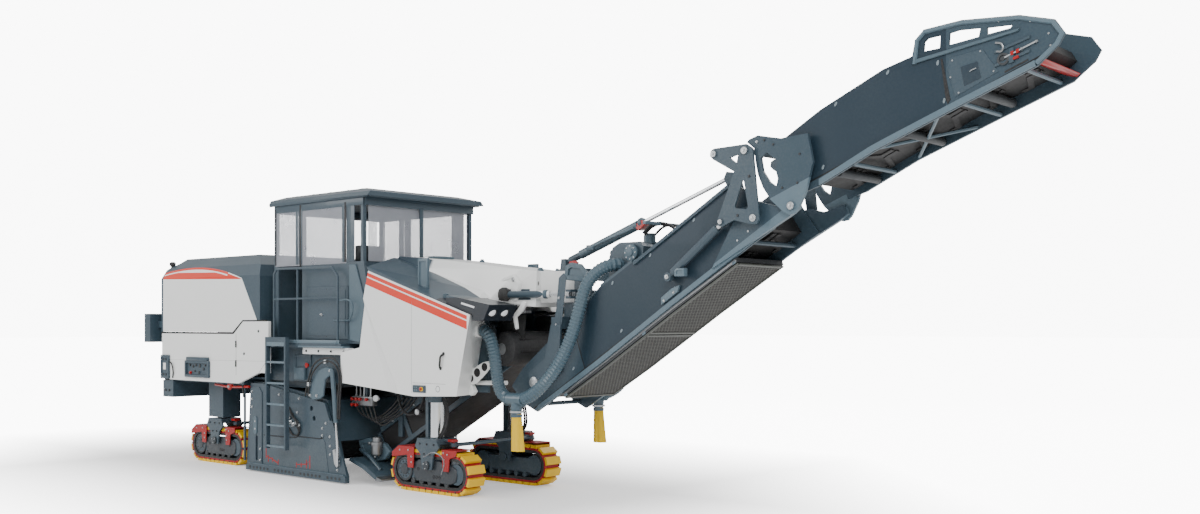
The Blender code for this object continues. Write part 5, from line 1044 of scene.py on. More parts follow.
def front_dress():
    """Lamps, deck posts, door handle, stop panel, nose fittings and the curtain under the nose."""
    bar([(-1.05, -1.2515, 2.72), (-0.27, -1.2515, 1.44)], 0.002, "tank_fold_right", white, "machine", False)
    for side_name, side in SIDES:
        y = side * 1.2505
        joint = block((0.018, side * 1.2495, 1.44), (0.022, side * 1.2512, 2.72), 0.0005)
        settle(joint, "tank_joint_" + side_name, grey_line, "machine")
        lower = block((0.05, side * 1.2495, 1.584), (0.74, side * 1.2512, 1.588), 0.0005)
        settle(lower, "tank_lower_joint_" + side_name, grey_line, "machine")
        bar([(0.70, side * 1.25, 2.00), (0.695, side * 1.272, 1.985), (0.665, side * 1.276, 1.96),
             (0.655, side * 1.278, 1.90), (0.645, side * 1.272, 1.82), (0.64, side * 1.25, 1.80)], 0.015,
            "tank_handle_" + side_name, black_rubber, "machine")
        ends = [turned((x, y, z), (0, side, 0), [(0.0, 0.024), (0.006, 0.024), (0.009, 0.018)], 14)
                for x, z in ((0.70, 2.00), (0.64, 1.80))]
        settle(joined(ends), "handle_feet_" + side_name, black_rubber, "machine")
        stop_box = block((0.06, side * 1.245, 1.452), (0.33, side * 1.268, 1.556), 0.010)
        recess(stop_box, (0, side, 0), 0.012, 0.006)
        settle(stop_box, "stop_panel_" + side_name, slate, "machine")
        button = turned((0.245, side * 1.262, 1.505), (0, side, 0),
                        [(0.0, 0.036), (0.004, 0.036), (0.005, 0.030)], 20)
        settle(button, "stop_ring_" + side_name, yellow, "machine")
        button = turned((0.245, side * 1.264, 1.505), (0, side, 0),
                        [(0.0, 0.012), (0.008, 0.012), (0.009, 0.022), (0.018, 0.022), (0.022, 0.014)], 20)
        settle(button, "stop_button_" + side_name, signal_red, "machine")
        keys = many(block((-0.012 - FRONT_AXLE_X, side * 1.260, -0.012),
                          (0.012 - FRONT_AXLE_X, side * 1.268, 0.012), 0.002),
                    [at(x, 0.0, z) for x in (0.10, 0.145) for z in (1.483, 1.528)])
        settle(keys, "stop_keys_" + side_name, edge_blue, "machine")
        hole = turned((0.58, side * 1.2492, 1.515), (0, side, 0),
                      [(0.0, 0.045), (0.002, 0.045), (0.0022, 0.036), (-0.010, 0.034)], 24)
        settle(hole, "towing_hole_" + side_name, grey_line, "machine")
        posts = [block((-0.02, side * 1.07, 2.90), (0.20, side * 1.11, 3.33), 0.012)]
        recess(posts[0], (0, side, 0), 0.03, 0.012)
        settle(joined(posts), "deck_post_" + side_name, slate_light, "machine")
        post = turned((0.575, side * 1.10, 2.66), (0, 0, 1),
                      [(0.0, 0.034), (0.10, 0.034), (0.12, 0.040), (0.16, 0.040), (0.17, 0.02)], 16)
        settle(post, "deck_pin_" + side_name, slate_light, "machine")
        for index, lamp_y in enumerate((0.90, 1.12)):
            bezel = turned((1.505, side * lamp_y, 2.575), (1, side * 0.25, -0.10),
                           [(-0.03, 0.076), (0.018, 0.076), (0.024, 0.070), (0.012, 0.062), (-0.01, 0.03)],
                           24)
            settle(bezel, "lamp_bezel_%d_%s" % (index, side_name), dark_line, "machine")
            lens = turned((1.505, side * lamp_y, 2.575), (1, side * 0.25, -0.10),
                          [(-0.02, 0.064), (0.014, 0.064), (0.024, 0.050), (0.030, 0.025)], 24)
            settle(lens, "lamp_lens_%d_%s" % (index, side_name), lamp_white, "machine")
        strip = plate([(1.02, 2.675), (1.28, 2.615), (1.29, 2.64), (1.03, 2.70)], side * 1.215,
                      side * 1.2255, 0.003)
        settle(strip, "lamp_strip_" + side_name, lamp_white, "machine")
        ball = turned((1.17, side * 0.56, 2.81), (0, 0, 1),
                      [(-0.085, 0.05), (-0.075, 0.072), (-0.03, 0.088), (0.03, 0.088), (0.075, 0.072),
                       (0.09, 0.045), (0.10, 0.03)], 20)
        settle(ball, "slew_pivot_cap_" + side_name, black_rubber, "machine")
        gland = turned((1.780, side * 0.337, 2.81), (0.9392, -side * 0.34336, 0),
                       [(-0.05, 0.056), (-0.04, 0.060), (0.0, 0.060), (0.01, 0.045)], 18)
        settle(gland, "slew_gland_" + side_name, slate_light, "machine")
        plate_low = [(0.84, 2.52), (1.48, 2.557), (1.48, 2.592), (0.84, 2.555)]
        angle_bar = plate(plate_low, side * 0.34, side * 0.46, 0.003)
        settle(angle_bar, "nose_angle_" + side_name, steel, "machine")
        bolts("nose_bolts_" + side_name, [(0.92 + 0.11 * index, side * 0.461, 2.545 + 0.0063 * index)
                                          for index in range(5)], (0, side, 0), 0.010, bolt_steel,
              "machine")
        curtain = plate([(0.88, 2.50), (1.40, 2.54), (1.36, 2.20), (1.26, 2.08), (1.12, 1.93),
                         (0.90, 1.78)], side * 0.36, side * 0.366, 0.0)
        settle(curtain, "nose_curtain_" + side_name, black_rubber, "machine")
        bar([(0.72, side * 0.66, 1.585), (1.26, side * 0.60, 1.60)], 0.034, "cross_tube_" + side_name,
            white, "machine", False)
        lattice = plate([(0.60, 1.66), (0.72, 1.76), (0.98, 1.88), (1.10, 1.90), (1.12, 1.80), (0.98, 1.68),
                         (0.84, 1.58), (0.70, 1.55)], side * 0.76, side * 0.79, 0.010)
        settle(lattice, "lattice_arm_" + side_name, white, "machine")
        for index, (x, z, r) in enumerate(((0.74, 1.655, 0.045), (0.87, 1.735, 0.05), (1.02, 1.815, 0.045))):
            eyelet = turned((x, side * 0.788, z), (0, side, 0),
                            [(0.0, r + 0.012), (0.005, r + 0.012), (0.006, r), (0.003, r * 0.9)], 18)
            settle(eyelet, "lattice_hole_%d_%s" % (index, side_name), dark_line, "machine")
        lower = plate([(0.50, 1.56), (0.62, 1.60), (0.76, 1.56), (0.82, 1.47), (0.76, 1.41), (0.62, 1.44)],
                      side * 0.72, side * 0.80, 0.010)
        settle(lower, "lattice_foot_" + side_name, white, "machine")
        # the head carrier under the nose takes the darkened slate: painted shade
        carrier = plate([(0.88, 2.42), (1.02, 2.40), (1.06, 2.20), (0.98, 2.02), (0.84, 1.98),
                         (0.80, 2.20)], side * 0.58, side * 0.61, 0.010)
        recess(carrier, (0, side, 0), 0.04, 0.012)
        settle(carrier, "head_carrier_" + side_name, slate_in_painted_shade, "machine")
        bolts("head_carrier_bolts_" + side_name,
              [(0.90, side * 0.61, 2.36), (0.92, side * 0.61, 2.04), (1.00, side * 0.61, 2.24)],
              (0, side, 0), 0.02, bolt_steel, "machine")
        bearing = plate([(0.96, 2.72), (0.94, 2.92), (1.06, 3.04), (1.28, 3.10), (1.40, 2.96),
                         (1.34, 2.72)], side * 0.40, side * 0.500, 0.016)
        recess(bearing, (0, side, 0), 0.03, 0.010)
        settle(bearing, "slew_bearing_" + side_name, white, "machine")
        for index, (x, z, r, y) in enumerate(((1.00, 2.98, 0.022, 0.503), (1.28, 3.02, 0.030, 0.500),
                                              (1.56, 2.96, 0.05, 0.335))):
            boss = turned((x, side * (y - 0.008), z), (0, side, 0),
                          [(0.0, r), (0.008, r), (0.011, r * 0.7), (0.006, r * 0.5)], 18)
            settle(boss, "slew_boss_%d_%s" % (index, side_name), dark_line if index != 1 else steel,
                   "machine")
        stay = plate([(1.60, 2.70), (1.52, 2.58), (1.40, 2.50), (1.43, 2.34), (1.38, 2.33), (1.33, 2.52),
                      (1.46, 2.64), (1.52, 2.72)], side * 0.52, side * 0.56, 0.008)
        settle(stay, "visor_stay_" + side_name, white, "machine")
    head = turned((1.12, -0.56, 2.06), (0, 1, 0),
                  [(0.0, 0.10), (0.01, 0.20), (0.03, 0.235), (0.10, 0.245), (0.50, 0.25), (1.02, 0.245),
                   (1.09, 0.235), (1.11, 0.20), (1.12, 0.10)], 32)
    settle(head, "loader_head_cover", head_black, "machine")
    rib = turned((1.12, -0.568, 2.06), (0, 1, 0), [(0.0, 0.05), (0.01, 0.09), (0.02, 0.09)], 20)
    settle(rib, "loader_head_hub", steel, "machine")
    hatch = block((-0.75, -0.30, 3.385), (-0.60, 0.10, 3.42), 0.010)
    settle(hatch, "hump_hinge", slate_light, "machine")
    caps = [turned((x, y, z), (0.1, 0, 1), [(-0.01, r), (0.015, r), (0.022, r * 0.7), (0.04, r * 0.6)], 16)
            for x, y, z, r in ((1.50, -0.18, 3.148, 0.045), (-0.10, 0.20, 3.335, 0.04),
                               (1.45, 0.20, 3.15, 0.03))]
    settle(joined(caps), "nose_caps", slate_light, "machine")


def mast_dress():
    """Side columns, clevis and pin caps of the slewing mast."""
    for side_name, side in SIDES:
        near, far = side * 0.531, side * 0.546
        column = plate([(2.09, 1.86), (2.19, 1.82), (2.24, 2.40), (2.33, 3.02), (2.28, 3.08), (2.19, 3.02),
                        (2.14, 2.60), (2.10, 2.40)], near, far, 0.006)
        settle(column, "mast_column_" + side_name, slate, "mast")
        bracket = plate([(2.10, 3.00), (2.13, 3.18), (2.22, 3.225), (2.42, 3.20), (2.56, 3.05),
                         (2.50, 2.96)], side * 0.32, side * 0.355, 0.008)
        recess(bracket, (0, side, 0), 0.055, 0.020)
        settle(bracket, "mast_bracket_" + side_name, slate_light, "mast")
        bolts("mast_bolts_" + side_name, [(2.15, side * 0.546, 2.40), (2.20, side * 0.546, 2.75)],
              (0, side, 0), 0.014, bolt_steel, "mast")
        cap = turned((1.75, side * 0.57, 1.62), (0, side, 0),
                     [(-0.01, 0.075), (0.006, 0.075), (0.010, 0.060), (0.014, 0.03)], 20)
        settle(cap, "lift_pin_cap_" + side_name, bolt_steel, "mast")
    pin = turned((1.95, 0.0, 3.155), (0, 0, 1),
                 [(-0.01, 0.10), (0.012, 0.10), (0.02, 0.085), (0.03, 0.05), (0.034, 0.02)], 20)
    settle(pin, "slew_pin_cap", slate_light, "mast")
    clip = plate([(1.98, 3.22), (2.10, 3.20), (2.16, 3.235), (2.10, 3.265), (2.00, 3.26)], -0.13, -0.10,
                 0.004)
    settle(clip, "mast_clip", signal_red, "mast")


def crawler_dress():
    """Roller housings, hubs, bolts and hoses of the four track units."""
    for axle_name, axle in (("front", 0.0), ("rear", -5.62)):
        for side_name, side in SIDES:
            body = "crawler_unit_%s_%s" % (axle_name, side_name)
            tag = axle_name + "_" + side_name
            middle = side * 0.765

            def out(depth):
                return middle + side * depth

            # housing, sprocket hub and pendulum cap take the darkened slate: painted shade under the fender
            housing = plate([(axle + x, z) for x, z in ((-0.30, 0.155), (0.44, 0.155), (0.56, 0.20),
                                                        (0.585, 0.30), (0.56, 0.39), (0.44, 0.435),
                                                        (0.26, 0.44), (0.24, 0.47), (-0.24, 0.47),
                                                        (-0.27, 0.44), (-0.34, 0.43), (-0.36, 0.30))],
                            out(0.118), out(0.146), 0.010)
            settle(housing, "roller_housing_" + tag, slate_in_painted_shade, body)
            slots = [turned((axle + x, out(0.144), z), (0, side, 0),
                            [(0.0, 0.026), (0.004, 0.026), (0.005, 0.019), (0.002, 0.016)], 12)
                     for x, z in ((0.10, 0.24), (0.16, 0.24), (0.22, 0.24), (0.40, 0.33), (-0.24, 0.33))]
            settle(joined(slots), "housing_holes_" + tag, dark_line, body)
            hub = turned((axle - 0.56, out(0.118), 0.305), (0, side, 0),
                         [(0.0, 0.175), (0.014, 0.175), (0.020, 0.165), (0.020, 0.142), (0.010, 0.136),
                          (0.010, 0.085), (0.024, 0.078), (0.028, 0.05), (0.030, 0.02)], 28)
            settle(hub, "sprocket_hub_" + tag, slate_in_painted_shade, body)
            bolts("hub_bolts_" + tag, [(axle - 0.56 + 0.108 * math.cos(turn), out(0.128),
                                        0.305 + 0.108 * math.sin(turn))
                                       for turn in (2 * math.pi * step / 10 for step in range(10))],
                  (0, side, 0), 0.009, iron, body)
            hub = turned((axle + 0.0, out(0.208), 0.40), (0, side, 0),
                         [(-0.02, 0.062), (0.008, 0.062), (0.014, 0.052), (0.014, 0.03), (0.02, 0.026)], 20)
            settle(hub, "pendulum_cap_" + tag, slate_in_painted_shade, body)
            bolts("pendulum_bolts_" + tag, [(axle + 0.041 * math.cos(turn), out(0.222),
                                             0.40 + 0.041 * math.sin(turn)) for turn in (0.5, 2.6, 4.7)],
                  (0, side, 0), 0.008, bolt_steel, body)
            bolts("fender_bolts_" + tag, [(axle + x, out(0.174), z)
                                          for x, z in ((-0.36, 0.42), (-0.36, 0.50), (-0.43, 0.59),
                                                       (-0.62, 0.58), (0.35, 0.42), (0.35, 0.50),
                                                       (0.42, 0.58), (0.34, 0.60))], (0, side, 0), 0.011,
                  bolt_steel, body)
            bolts("fork_bolts_" + tag, [(axle + x, out(0.193), z)
                                        for x, z in ((-0.15, 0.70), (0.15, 0.70), (-0.06, 0.56),
                                                     (0.06, 0.56), (0.0, 0.70))], (0, side, 0), 0.013, iron,
                  body)
            pins = []
            for run in range(26):
                along = 4.156 * run / 26
                if along < 1.12:
                    x, z = -0.56 + along, 0.305 + 0.247
                elif along < 2.078:
                    turn = (along - 1.12) / 0.305
                    x, z = 0.56 + 0.247 * math.sin(turn), 0.305 + 0.247 * math.cos(turn)
                elif along < 3.198:
                    x, z = 0.56 - (along - 2.078), 0.305 - 0.247
                else:
                    turn = (along - 3.198) / 0.305
                    x, z = -0.56 - 0.247 * math.sin(turn), 0.305 - 0.247 * math.cos(turn)
                pins.append((axle + x, out(0.146), z))
            bolts("pad_bolts_" + tag, pins, (0, side, 0), 0.013, iron, body)
            rollers = [turned((axle + x, out(0.118), 0.150), (0, side, 0),
                              [(0.0, 0.046), (0.022, 0.046), (0.028, 0.034), (0.024, 0.02)], 14)
                       for x in (-0.36, -0.18, 0.0, 0.18, 0.36)]
            settle(joined(rollers), "roller_caps_" + tag, iron, body)
            if axle_name == "front":
                for index, shift in enumerate((0.0, 0.045)):
                    bar([(0.10 + shift, middle + side * 0.06, 0.79),
                         (0.17 + shift, middle + side * 0.05, 0.88),
                         (0.20 + shift, middle + side * 0.02, 1.05), (0.17 + shift, middle, 1.24),
                         (0.12 + shift, middle, 1.36)], 0.017, "leg_hose_%d_%s" % (index, side_name),
                        black_rubber, body)
                bar([(-0.02, out(0.24), 0.52), (0.30, out(0.27), 0.60), (0.42, out(0.24), 0.50),
                     (0.36, out(0.235), 0.30)], 0.008, "grease_line_" + side_name, steel, body)


def milling_dress():
    """Bolts, wear marks, guides, hoses and lifting gear of the side plates."""
    for side_name, side in SIDES:
        body = side_name + "_side_plate"
        face = side * 1.132
        spots = [(-2.24, 0.81), (-2.24, 0.70), (-2.15, 0.89), (-2.05, 0.69), (-2.04, 0.55), (-2.04, 0.42),
                 (-2.85, 1.24), (-3.40, 1.28), (-1.86, 0.20), (-1.80, 0.34), (-2.9, 1.02)]
        bolts("plate_bolts_" + side_name, [(x, face, z) for x, z in spots], (0, side, 0), 0.017, bolt_steel,
              body)
        bolts("guide_bolts_" + side_name, [(x, side * 1.144, z)
                                           for x, z in ((-3.92, 0.38), (-3.92, 0.20), (-4.16, 1.30),
                                                        (-4.16, 1.18), (-4.16, 1.05), (-4.06, 0.82),
                                                        (-4.06, 0.70))], (0, side, 0), 0.017, bolt_steel,
              body)
        oval = plate([(-4.10 + 0.05 * math.cos(turn) + 0.04,
                       0.76 + (0.10 if math.sin(turn) > 0 else -0.10) + 0.05 * math.sin(turn))
                      for turn in (2 * math.pi * (step + 0.5) / 16 for step in range(16))], side * 1.140,
                     side * 1.158, 0.004)
        settle(oval, "guide_oval_" + side_name, slate_light, body)
        lower = plate([(-3.84, 0.125), (-3.84, 0.60), (-3.21, 0.605), (-2.93, 0.615), (-2.89, 0.635),
                       (-2.30, 0.635), (-2.22, 0.655), (-2.17, 0.60), (-2.08, 0.125)], side * 1.128,
                      side * 1.139, 0.003)
        settle(lower, "wear_plate_" + side_name, plate_teal, body)
        bar([(-3.84, side * 1.136, 0.612), (-3.21, side * 1.136, 0.617), (-2.93, side * 1.136, 0.627),
             (-2.89, side * 1.136, 0.647), (-2.30, side * 1.136, 0.647), (-2.22, side * 1.136, 0.667)],
            0.006, "wear_plate_edge_" + side_name, dark_line, body, False)
        strokes = []
        for x0, z0, x1, z1 in ((-3.76, 0.40, -3.76, 0.24), (-3.76, 0.28, -3.64, 0.25),
                               (-3.70, 0.29, -3.70, 0.19), (-3.64, 0.25, -3.42, 0.19),
                               (-3.58, 0.26, -3.58, 0.20), (-3.42, 0.235, -3.42, 0.165),
                               (-2.56, 0.36, -2.56, 0.17), (-2.65, 0.29, -2.65, 0.17),
                               (-2.92, 0.20, -2.62, 0.235), (-2.66, 0.235, -2.56, 0.29),
                               (-2.79, 0.235, -2.79, 0.175), (-2.92, 0.23, -2.92, 0.16)):
            stroke = plate([(x0 - 0.009, z0 - 0.004), (x0 + 0.009, z0 + 0.012), (x1 + 0.009, z1 + 0.004),
                            (x1 - 0.009, z1 - 0.012)], side * 1.1385, side * 1.1405, 0.0)
            strokes.append(stroke)
        settle(joined(strokes), "depth_scale_" + side_name, signal_red, body)
        holes = [turned((-4.20 + 0.101 * index, side * 1.1555, 0.072), (0, side, 0),
                        [(0.0, 0.024), (0.005, 0.024), (0.006, 0.017), (0.003, 0.013)], 12)
                 for index in range(25) if index not in (6, 13, 20)]
        settle(joined(holes), "skid_bolts_" + side_name, iron, body)
        lip = plate([(-4.25, 0.128), (-1.68, 0.128), (-1.68, 0.142), (-4.25, 0.142)], side * 1.130,
                    side * 1.164, 0.003)
        settle(lip, "skid_lip_" + side_name, slate_light, body)
        guide = block((-4.385, side * 1.135, 0.16), (-4.345, side * 1.165, 1.58), 0.006)
        settle(guide, "guide_bar_" + side_name, slate, "machine")
        shield = plate([(-2.06, 0.94), (-1.98, 0.93), (-1.70, 0.33), (-1.62, 0.12), (-1.70, 0.10),
                        (-1.80, 0.12)], side * 1.135, side * 1.141, 0.002)
        settle(shield, "chrome_strip_carrier_" + side_name, slate, body)
        blade = plate([(-1.93, 0.50), (-1.87, 0.52), (-1.79, 0.27), (-1.83, 0.24), (-1.89, 0.30)],
                      side * 1.140, side * 1.175, 0.004)
        settle(blade, "cylinder_foot_" + side_name, bolt_steel, body)
        # Lifting arm, its cylinder and the two hoses over it; they stay with the housing
        arm = plate([(-2.53, 1.38), (-2.38, 1.60), (-2.26, 1.71), (-2.05, 1.755), (-1.91, 1.74),
                     (-1.88, 1.68), (-2.09, 1.56), (-2.13, 1.31), (-2.23, 1.26), (-2.41, 1.24),
                     (-2.53, 1.30)], side * 1.165, side * 1.20, 0.010)
        settle(arm, "lifting_arm_" + side_name, slate_light, "machine")
        foot = block((-2.30, side * 1.02, 1.585), (-2.15, side * 1.175, 1.655), 0.008)
        settle(foot, "lifting_arm_foot_" + side_name, slate, "machine")
        bolts("lifting_arm_bolts_" + side_name,
              [(-2.46, side * 1.20, 1.31), (-2.29, side * 1.20, 1.31), (-1.95, side * 1.20, 1.70)],
              (0, side, 0), 0.02, bolt_steel, "machine")
        bar([(-1.925, side * 1.185, 1.72), (-1.865, side * 1.185, 1.30), (-1.825, side * 1.185, 0.92)],
            0.036, "side_lift_barrel_" + side_name, slate_light, "machine", False, 16)
        bar([(-1.835, side * 1.185, 1.02), (-1.79, side * 1.185, 0.56), (-1.80, side * 1.178, 0.28)], 0.018,
            "side_lift_rod_" + side_name, chrome, body, False, 16)
        for index, shift in enumerate((0.0, 0.05)):
            bar([(-2.50 - shift, side * (1.215 + shift * 0.3), 1.30), (-2.42 - shift, side * 1.23, 1.55),
                 (-2.24 - shift, side * 1.24, 1.75 + shift), (-2.00, side * 1.24, 1.84 + shift),
                 (-1.80 + shift, side * 1.235, 1.80 + shift), (-1.71 + shift, side * 1.22, 1.66),
                 (-1.74 + shift, side * 1.21, 1.30), (-1.76 + shift, side * 1.205, 0.98)], 0.014,
                "lift_hose_%d_%s" % (index, side_name), black_rubber, "machine")
        clips = [block((x - 0.025, side * 1.195, z - 0.03), (x + 0.025, side * 1.25, z + 0.03), 0.006)
                 for x, z in ((-2.03, 1.835), (-2.46, 1.48))]
        settle(joined(clips), "hose_clips_" + side_name, bolt_steel, "machine")
        # Box with a stop button and the tall cover behind the ladder
        cover = block((-3.12, side * 0.99, 1.505), (-2.68, side * 1.045, 1.93), 0.014)
        recess(cover, (0, side, 0), 0.03, 0.010)
        settle(cover, "rear_box_" + side_name, slate, "machine")
        box_piece = block((-3.08, side * 1.04, 1.53), (-2.80, side * 1.078, 1.72), 0.008)
        settle(box_piece, "control_box_" + side_name, slate_light, "machine")
        knob = turned((-2.75, side * 1.045, 1.76), (0, side, 0),
                      [(0.0, 0.030), (0.012, 0.030), (0.014, 0.040), (0.03, 0.040), (0.036, 0.02)], 18)
        settle(knob, "box_stop_" + side_name, signal_red, "machine")
        for index in range(3):
            bar([(-3.84 + 0.05 * index, side * (1.17 + 0.02 * index), 1.78),
                 (-3.88, side * (1.17 + 0.02 * index), 1.68),
                 (-4.02, side * (1.18 + 0.02 * index), 1.65 - 0.03 * index),
                 (-4.22, side * (1.18 + 0.02 * index), 1.63 - 0.03 * index), (-4.36, side * 1.18, 1.50),
                 (-4.365, side * 1.178, 1.20)], 0.013, "guide_hose_%d_%s" % (index, side_name),
                black_rubber, "machine")
            bar([(-3.25, side * 1.05, 1.20 + 0.03 * index), (-3.02, side * (1.14 + 0.012 * index), 0.98),
                 (-2.88 + 0.03 * index, side * 1.16, 0.82), (-2.84, side * 1.15, 0.70),
                 (-2.98, side * 1.145, 0.66), (-3.12, side * 1.142, 0.72 + 0.02 * index)], 0.013,
                "plate_hose_%d_%s" % (index, side_name), black_rubber, body)
        links = [turned((-3.10 + 0.045 * index, side * 1.155,
                         0.93 - 0.025 * index - 0.06 * math.sin(index * 0.9)),
                        (0.3 if index % 2 else -0.4, side, 0.2),
                        [(-0.012, 0.030), (0.012, 0.030), (0.014, 0.018), (-0.012, 0.018)], 10)
                 for index in range(7)]
        settle(joined(links), "plate_chain_" + side_name, bolt_steel, body)


def loader_dress():
    """Frame of the loading conveyor, the valve bank beside it and the front shield of the milling chamber."""
    for side_name, side in SIDES:
        near, far = side * 0.4203, side * 0.444

        def low(x):
            return 0.35 + (x + 1.50) * 0.5471

        def high(x):
            return 0.80 + (x + 1.72) * 0.5318

        rails = [plate([(-1.60, low(-1.60) + 0.02), (1.20, low(1.20)), (1.20, low(1.20) + 0.10),
                        (-1.66, low(-1.66) + 0.10)], near, far, 0.006),
                 plate([(-1.70, high(-1.70) - 0.09), (0.92, high(0.92) - 0.09), (0.92, high(0.92)),
                        (-1.72, high(-1.72))], near, far, 0.006)]
        for x in (-1.60, -1.02, -0.44, 0.14, 0.72):
            rails.append(plate([(x, low(x) + 0.05), (x + 0.09, low(x + 0.09) + 0.05),
                                (x - 0.12, high(x - 0.12) - 0.05), (x - 0.20, high(x - 0.20) - 0.05)], near,
                               side * 0.438, 0.005))
        settle(joined(rails), "loader_frame_" + side_name, slate, "machine")
        bolts("loader_bolts_" + side_name, [(x, side * 0.444, high(x) - 0.045)
                                            for x in (-1.4, -0.9, -0.4, 0.1, 0.6)], (0, side, 0), 0.014,
              bolt_steel, "machine")
        bank = block((-2.01, side * 0.66, 1.16), (-1.50, side * 0.76, 1.30), 0.010)
        settle(bank, "valve_bank_" + side_name, steel, "machine")
        hanger = block((-1.80, side * 0.64, 1.28), (-1.70, side * 0.70, 1.505), 0.006)
        settle(hanger, "valve_hanger_" + side_name, slate, "machine")
        knobs = []
        pipes = []
        for x, z in ((-1.95, 1.26), (-1.85, 1.26), (-1.76, 1.26), (-1.60, 1.26), (-1.95, 1.17),
                     (-1.85, 1.17)):
            knobs.append(turned((x, side * 0.76, z), (0, side, 0),
                                [(0.0, 0.012), (0.02, 0.012), (0.02, 0.026), (0.05, 0.026), (0.054, 0.016)],
                                12))
            pipes.append(turned((x, side * 0.71, 1.29), (0, 0, 1),
                                [(0.0, 0.02), (0.03, 0.02), (0.03, 0.012), (0.17, 0.012)], 10))
        settle(joined(knobs), "valve_knobs_" + side_name, signal_red, "machine")
        settle(joined(pipes), "valve_pipes_" + side_name, bolt_steel, "machine")
        gauge = turned((-1.45, side * 0.72, 1.28), (0.3, side, 0.1),
                       [(-0.03, 0.04), (0.0, 0.048), (0.02, 0.048), (0.024, 0.04)], 20)
        settle(gauge, "pressure_dial_" + side_name, lamp_white, "machine")
        for index in range(5):
            start = -1.95 + 0.10 * index
            bar([(start, side * 0.70, 1.17), (start + 0.02, side * 0.69, 1.08),
                 (start + 0.12, side * 0.66, 1.0 - 0.03 * index), (start + 0.36, side * 0.60, 0.98),
                 (start + 0.60, side * 0.54, 1.12), (start + 0.78, side * 0.50, 1.30)], 0.013,
                "bank_hose_%d_%s" % (index, side_name), black_rubber, "machine")
        bar([(-1.20, side * 0.50, 1.44), (-1.12, side * 0.54, 1.22), (-0.98, side * 0.55, 1.08),
             (-0.80, side * 0.53, 1.06), (-0.66, side * 0.50, 1.20), (-0.60, side * 0.48, 1.40)], 0.020,
            "loader_hose_" + side_name, black_rubber, "machine")
        stud = turned((-0.72, side * 0.50, 1.10), (0.2, side, 0),
                      [(-0.05, 0.03), (0.02, 0.03), (0.02, 0.045), (0.05, 0.045), (0.06, 0.03)], 16)
        settle(stud, "loader_port_" + side_name, bolt_steel, "machine")
        pump = turned((-1.46, side * 0.70, 0.42), (0, 0, 1),
                      [(0.0, 0.07), (0.03, 0.085), (0.16, 0.085), (0.16, 0.10), (0.20, 0.10), (0.21, 0.07),
                       (0.27, 0.065), (0.28, 0.03)], 20)
        settle(pump, "shield_cylinder_" + side_name, steel, "machine")
        bracket = plate([(-1.98, 0.60), (-1.72, 0.66), (-1.34, 0.60), (-1.20, 0.48), (-1.32, 0.36),
                         (-1.62, 0.30), (-1.84, 0.36)], side * 0.58, side * 0.66, 0.010)
        recess(bracket, (0, side, 0), 0.05, 0.015)
        settle(bracket, "shield_bracket_" + side_name, slate_light, "machine")
        bar([(-1.84, side * 0.72, 0.48), (-1.50, side * 0.80, 0.40), (-1.24, side * 0.80, 0.22)], 0.028,
            "shield_link_" + side_name, slate, "machine", False, 12)
        bolts("shield_bolts_" + side_name, [(-1.70, side * 0.66, 0.58), (-1.40, side * 0.66, 0.52),
                                            (-1.56, side * 0.66, 0.38)], (0, side, 0), 0.018, bolt_steel,
              "machine")
    shield = plate([(-1.80, 0.34), (-1.76, 0.38), (-1.42, 0.30), (-1.12, 0.16), (-1.10, 0.10),
                    (-1.16, 0.10), (-1.46, 0.24)], -0.98, 0.98, 0.006)
    settle(shield, "front_shield", slate, "machine")
    edge = plate([(-1.16, 0.08), (-1.02, 0.08), (-1.00, 0.11), (-1.12, 0.14)], -0.98, 0.98, 0.004)
    settle(edge, "front_shield_edge", steel, "machine")


